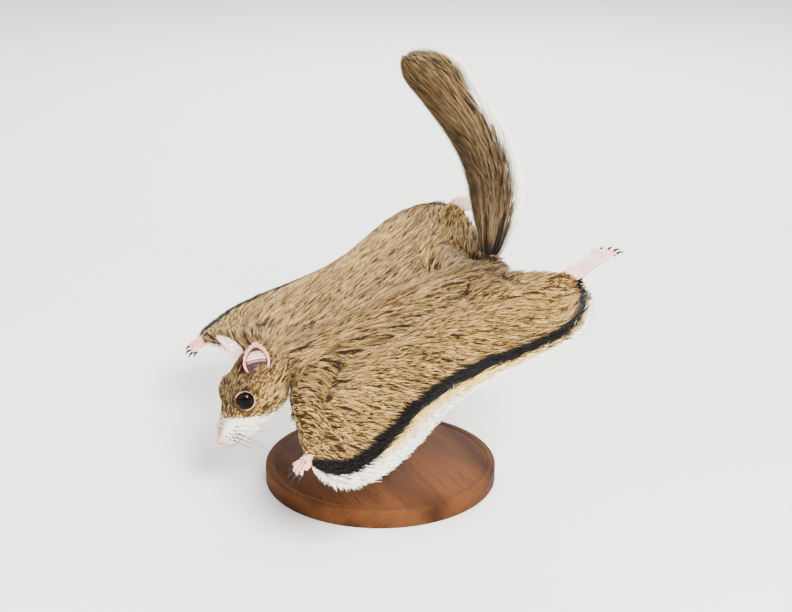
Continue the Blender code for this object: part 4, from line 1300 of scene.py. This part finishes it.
def makeWhiskers():
    draw = random.Random(8)
    hairs, roots = bmesh.new(), bmesh.new()
    for side in (1, -1):
        for r, (front, rear, count) in enumerate(whisker["rows"]):
            for k in range(count):
                spot = Vector(front).lerp(Vector(rear), k / max(count - 1, 1))
                root, out = onFace(spot.x, spot.y * side, spot.z, 0.3)
                addBall(roots, Matrix.Translation(root), 10, 6, whisker["root"] * mm)
                length = draw.uniform(*whisker["lengths"]) * (0.7 + 0.15 * k)
                back, down = -wayIn(headFrame, (1, 0, 0)), Vector((0, 0, -1))
                aim = back * 0.75 + out * 0.62 + down * (0.15 * r - 0.12)
                aim = (aim + wayIn(headFrame, (0, side, 0)) * 0.3).normalized()
                bend = down * draw.uniform(0.12, 0.3) + back * 0.15
                stations = whisker["stations"]
                points = [root + (aim * x + bend * x * x) * length * mm for x in stations]
                sizes = [(whisker["radius"] * (1 - 0.75 * x) * mm,) * 2 for x in stations]
                addTube(hairs, Matrix(), points, sizes, 6)
    makePiece("whiskers", asMesh(hairs, "whiskers"), hornFinish)
    makePiece("whisker_roots", asMesh(roots, "whisker_roots"), hornFinish)


makeWhiskers()
print("nose, mouth and whiskers done")

# Feet: palm, toes with knuckles and pads melted together, with claws of dark horn
feet = {
    "forefoot": {
        "rows": [
            (125.6, 76, -4.7, 2.9, 2.4), (128.6, 76.2, -5.1, 3.3, 2.3),
            (131, 76.5, -5.7, 4.1, 2.0), (132.8, 76.6, -6.1, 4.1, 1.5),
        ],
        "count": 4, "spread": 58, "length": 6.0, "radius": 0.82, "claw": 2.9, "curl": 0.22, "down": 0.7,
        "aim": {1: (0.98, -0.04, -0.14), -1: (0.98, -0.04, -0.14)},
    },
    "hind_foot": {
        "rows": [
            (-13.8, 61.8, 14.8, 3.5, 3.6), (-18, 59.8, 15.6, 4.2, 3.9), (-25.5, 55.5, 14.4, 3.5, 2.8),
            (-33, 50.8, 13, 4.6, 2.3), (-36.5, 48.6, 12.4, 4.5, 1.8),
        ],
        "count": 5, "spread": 60, "length": 8.4, "radius": 0.88, "claw": 3.6, "curl": 0.1, "down": 4.0,
        "aim": {1: (-0.84, -0.44, 0.16), -1: (-0.83, -0.42, -0.42)},
    },
}
# along a toe or a claw, in shares of its length: how far, how high, and its size there
toeLine = [
    (0, 0, 0.95), (0.22, 0.12, 0.92), (0.42, 0.14, 0.8), (0.62, 0.1, 0.78), (0.84, 0.02, 0.88),
    (1.02, -0.12, 0.45),
]
clawLine = [(-0.5, 0.06, 0.5), (0.0, 0.16, 0.56), (0.4, 0.14, 0.44), (0.75, -0.06, 0.28), (1.0, -0.38, 0.05)]
footFinish = Finish("foot")
blush = footFinish.noise(240, 3, 0.6)
footColour = footFinish.mix(blush.between(0.3, 0.7), colour(204, 132, 120), colour(224, 164, 150))
# painted shade in the creases between the toes
footColour = footFinish.mix(footFinish.mark("creaseShade") * 0.9, footColour, colour(112, 54, 48))
footFinish.put(
    colour=footColour, roughness=0.55, specular=0.35, subsurface=0.12, subsurfaceScale=0.002,
    normal=footFinish.bump(footFinish.noise(2400, 3), 0.45, 0.0003),
)


def makeFoot(kind, side, word, claws):
    form = feet[kind]
    shape = bmesh.new()
    rows = onSide(form["rows"], side)
    addLoft(shape, bodyFrame, rows, 20, 24)
    aim, up = wayIn(bodyFrame, sided(form["aim"][side], side)), wayIn(bodyFrame, (0, 0, 1))
    across = up.cross(aim).normalized()
    up = aim.cross(across)
    end = rows[-1]
    knuckles = bodyFrame @ Vector(end[:3])
    toes = []
    for i in range(form["count"]):
        share = 2 * i / (form["count"] - 1) - 1
        turn = math.radians(form["spread"] / 2) * share
        out = (aim * math.cos(turn) + across * math.sin(turn)).normalized()
        root = knuckles + across * share * (end[3] - form["radius"] * 0.8) * mm - out * 1.5 * mm
        length = form["length"] * (1 - 0.22 * share**2)
        path = [(along, rise - form["curl"] * along**3, size) for along, rise, size in toeLine]
        points = [root + (out * along + up * rise) * length * mm for along, rise, _ in path]
        toes.append([tuple(point) for point in points])
        addTube(shape, Matrix(), points, [(form["radius"] * k * mm,) * 2 for _, _, k in path], 12, up)
        pads = ((0.86, -0.11 - form["curl"] * 0.6, 0.62), (0.12, -0.2, 0.8))
        for along, rise, size in pads:
            spot = Matrix.Translation(root + (out * along + up * rise) * length * mm)
            addBall(shape, spot, 14, 10, form["radius"] * size * mm)
        line = [points[-1] + (out * along + up * rise) * form["claw"] * mm for along, rise, _ in clawLine]
        addTube(claws, Matrix(), line, [(k * 0.85 * mm, k * 1.25 * mm) for _, _, k in clawLine], 10, up)
    mesh = melted(asMesh(shape, kind, outward=False), 0.26)
    holder = linked("foot_form", mesh)
    soften(holder, 4)
    mesh = applied(holder)
    # painted shade where two toes lie nearly equally close
    gaps = np.sort([distanceTo(toe, vertexArray(mesh))[0] / mm for toe in toes], axis=0)
    setMarks(mesh, {"creaseShade": (1 - eased(gaps[1] - gaps[0], 0.15, 0.8)) * (gaps[0] < 2.2)})
    return makePiece(kind + "_form_" + word, mesh, footFinish, [kind + "_" + word])


footDown = {
    "length": (1.3, 2.3), "locks": (1.4, 0.2),
    "runs": {"share": 0.15, "steps": 4, "reach": 1.0, "pull": 0.3},
    "half width": 0.14, "half depth": 0.07, "root lift": 16, "tip lift": 5,
}


def makeFootDown(kind, foot, side, word):
    # pale hair over the upper side, thin on the fore feet, short of the toes' tips
    form = feet[kind]
    forward = form["aim"][side][0]
    tipLine = form["rows"][-1][0] + forward * form["length"] * 0.35

    def density(points, facing):
        up = facing @ np.array(wayIn(bodyFrame, (0, 0, 1)))
        short = (seenIn(bodyFrame, points)[:, 0] - tipLine) * forward < 0
        return form["down"] * eased(up, -0.5, 0.1) * short

    aim = wayIn(bodyFrame, sided(form["aim"][side], side))
    marks = {"pink": 0.35, "above": 0.1}
    makeDown("coat_" + kind + "_" + word, foot, density, aim, footDown, marks, 51 + side)


clawMesh = bmesh.new()
for side, word in bothSides:
    for kind in feet:
        makeFootDown(kind, makeFoot(kind, side, word, clawMesh), side, word)
makePiece("claws", asMesh(clawMesh, "claws"), hornFinish)
print("feet done")

# The stand
stand = {
    "radius": 56, "thickness": 9, "edge": 1.6, "bead": 51.5, "bead depth": 0.5, "bead half width": 1.2,
    "rod": 2.5, "collar": 7, "collar height": 5,
}
woodFinish = Finish("walnut")
grain = woodFinish.noise(46, 6, 0.62, stretch=(0.14, 1.0, 1.0))
pores = woodFinish.noise(900, 2, 0.5, stretch=(0.05, 1.0, 1.0))
woodColour = woodFinish.mix(grain.between(0.32, 0.68), colour(46, 25, 12), colour(84, 50, 27))
woodColour = woodFinish.mix(pores.between(0.6, 0.72) * 0.5, woodColour, colour(26, 14, 8))
woodFinish.put(
    colour=woodColour, roughness=grain * 0.12 + 0.55, specular=0.04,
    normal=woodFinish.bump(pores, 0.15, 0.0002),
)
steelFinish = Finish("steel")
brushed = steelFinish.noise(500, 2, 0.5, stretch=(1, 1, 0.02))
steelFinish.put(
    colour=steelFinish.mix(brushed, colour(180, 180, 182), colour(206, 206, 208)),
    roughness=brushed * 0.12 + 0.24, metallic=1.0, normal=steelFinish.bump(brushed, 0.06, 0.0001),
)


def turnedPiece(name, profile, finish, node, steps=144):
    # a profile of radii and heights in millimetres, spun round the stand's axis
    lathe = bmesh.new()
    verts = [lathe.verts.new((radius * mm, 0, height * mm)) for radius, height in profile]
    edges = [lathe.edges.new(pair) for pair in zip(verts, verts[1:] + verts[:1])]
    bmesh.ops.spin(
        lathe, geom=verts + edges, cent=(0, 0, 0), axis=(0, 0, 1), dvec=(0, 0, 0), angle=math.tau,
        steps=steps, use_merge=True, use_duplicate=False,
    )
    bmesh.ops.remove_doubles(lathe, verts=lathe.verts, dist=1e-6)
    piece = makePiece(name, asMesh(lathe, name), finish, [node])
    piece.data.set_sharp_from_angle(angle=math.radians(35))


def arc(centre, radius, start, end, steps=6):
    turns = [math.radians(start + (end - start) * i / steps) for i in range(steps + 1)]
    return [(centre[0] + radius * math.cos(turn), centre[1] + radius * math.sin(turn)) for turn in turns]


def makeStand():
    r, top, edge, bore = stand["radius"], stand["thickness"], stand["edge"], stand["rod"] + 0.3
    half = stand["bead half width"]
    bead = [
        (stand["bead"] - x, top - stand["bead depth"] * math.cos(x / half * math.pi / 2))
        for x in (-half, -0.8, -0.4, 0, 0.4, 0.8, half)
    ]
    profile = [(bore, 4.0), (bore, top), (r * 0.3, top), (r * 0.6, top), *sorted(bead)]
    profile += arc((r - edge, top - edge), edge, 90, 0) + arc((r - 0.7, 0.7), 0.7, 0, -90, 4)
    profile += [(r * 0.5, 0), (bore, 0.0)]
    turnedPiece("stand_disc", profile, woodFinish, "stand_base")
    low, high, collar = top + 0.3, top + 0.3 + stand["collar height"], stand["collar"]
    ring = [(bore, low), (collar - 0.4, low), *arc((collar - 0.5, low + 0.5), 0.5, -60, 0, 3)]
    ring += [(collar, high - 2.0), *arc((collar - 1.4, high - 1.4), 1.4, 0, 80, 6), (bore, high)]
    turnedPiece("stand_ring", ring, steelFinish, "stand_collar", 96)
    low, high = (corner.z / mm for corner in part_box("stand_rod"))
    rod = [(0.001, low), *arc((stand["rod"] - 0.3, low + 0.3), 0.3, -90, 0, 3)]
    rod += [*arc((stand["rod"] - 0.3, high - 0.3), 0.3, 0, 90, 3), (0.001, high)]
    turnedPiece("stand_post", rod, steelFinish, "stand_rod", 48)


makeStand()
print("stand done")


def makeStudio():
    floor = bmesh.new()
    bmesh.ops.create_grid(floor, x_segments=1, y_segments=1, size=3)
    paper = Finish("floor")
    paper.put(colour=colour(226, 225, 223), roughness=0.9, specular=0.1)
    ground = linked("floor", asMesh(floor, "floor", outward=False))
    ground.data.materials.append(paper.material)
    world = bpy.data.worlds.new("studio")
    world.use_nodes = True
    world.node_tree.nodes["Background"].inputs["Color"].default_value = (1, 1, 1, 1)
    world.node_tree.nodes["Background"].inputs["Strength"].default_value = 1.35
    bpy.context.scene.world = world
    for name, place, size, power in (
        ("key", (1.04, -0.04, 0.87), 0.4, 72),
        ("fill", (0.3, -1.2, 0.6), 0.9, 8),
        ("rim", (-0.9, 0.5, 0.9), 0.8, 30),
    ):
        lamp = bpy.data.lights.new(name, "AREA")
        lamp.size, lamp.energy = size, power
        lampObject = linked(name, lamp)
        lampObject.location = place
        aim = Vector((0, 0.03, 0.09)) - Vector(place)
        lampObject.rotation_euler = aim.to_track_quat("-Z", "Y").to_euler()


view = {
    "from": (653.9, -276.4, 345.7),  # millimetres
    "to": (0, 2.8, 89.6),
    "lens": 72.7,
    "shift": (0.0131, -0.0042),
}


def makeCamera():
    lens = bpy.data.cameras.new("camera")
    lens.lens, lens.sensor_width = view["lens"], 36
    lens.shift_x, lens.shift_y = view["shift"]
    lens.clip_start = 0.02
    camera = linked("camera", lens)
    camera.location = Vector(view["from"]) * mm
    aim = Vector(view["to"]) - Vector(view["from"])
    camera.rotation_euler = aim.to_track_quat("-Z", "Y").to_euler()
    bpy.context.scene.camera = camera


makeStudio()
makeCamera()
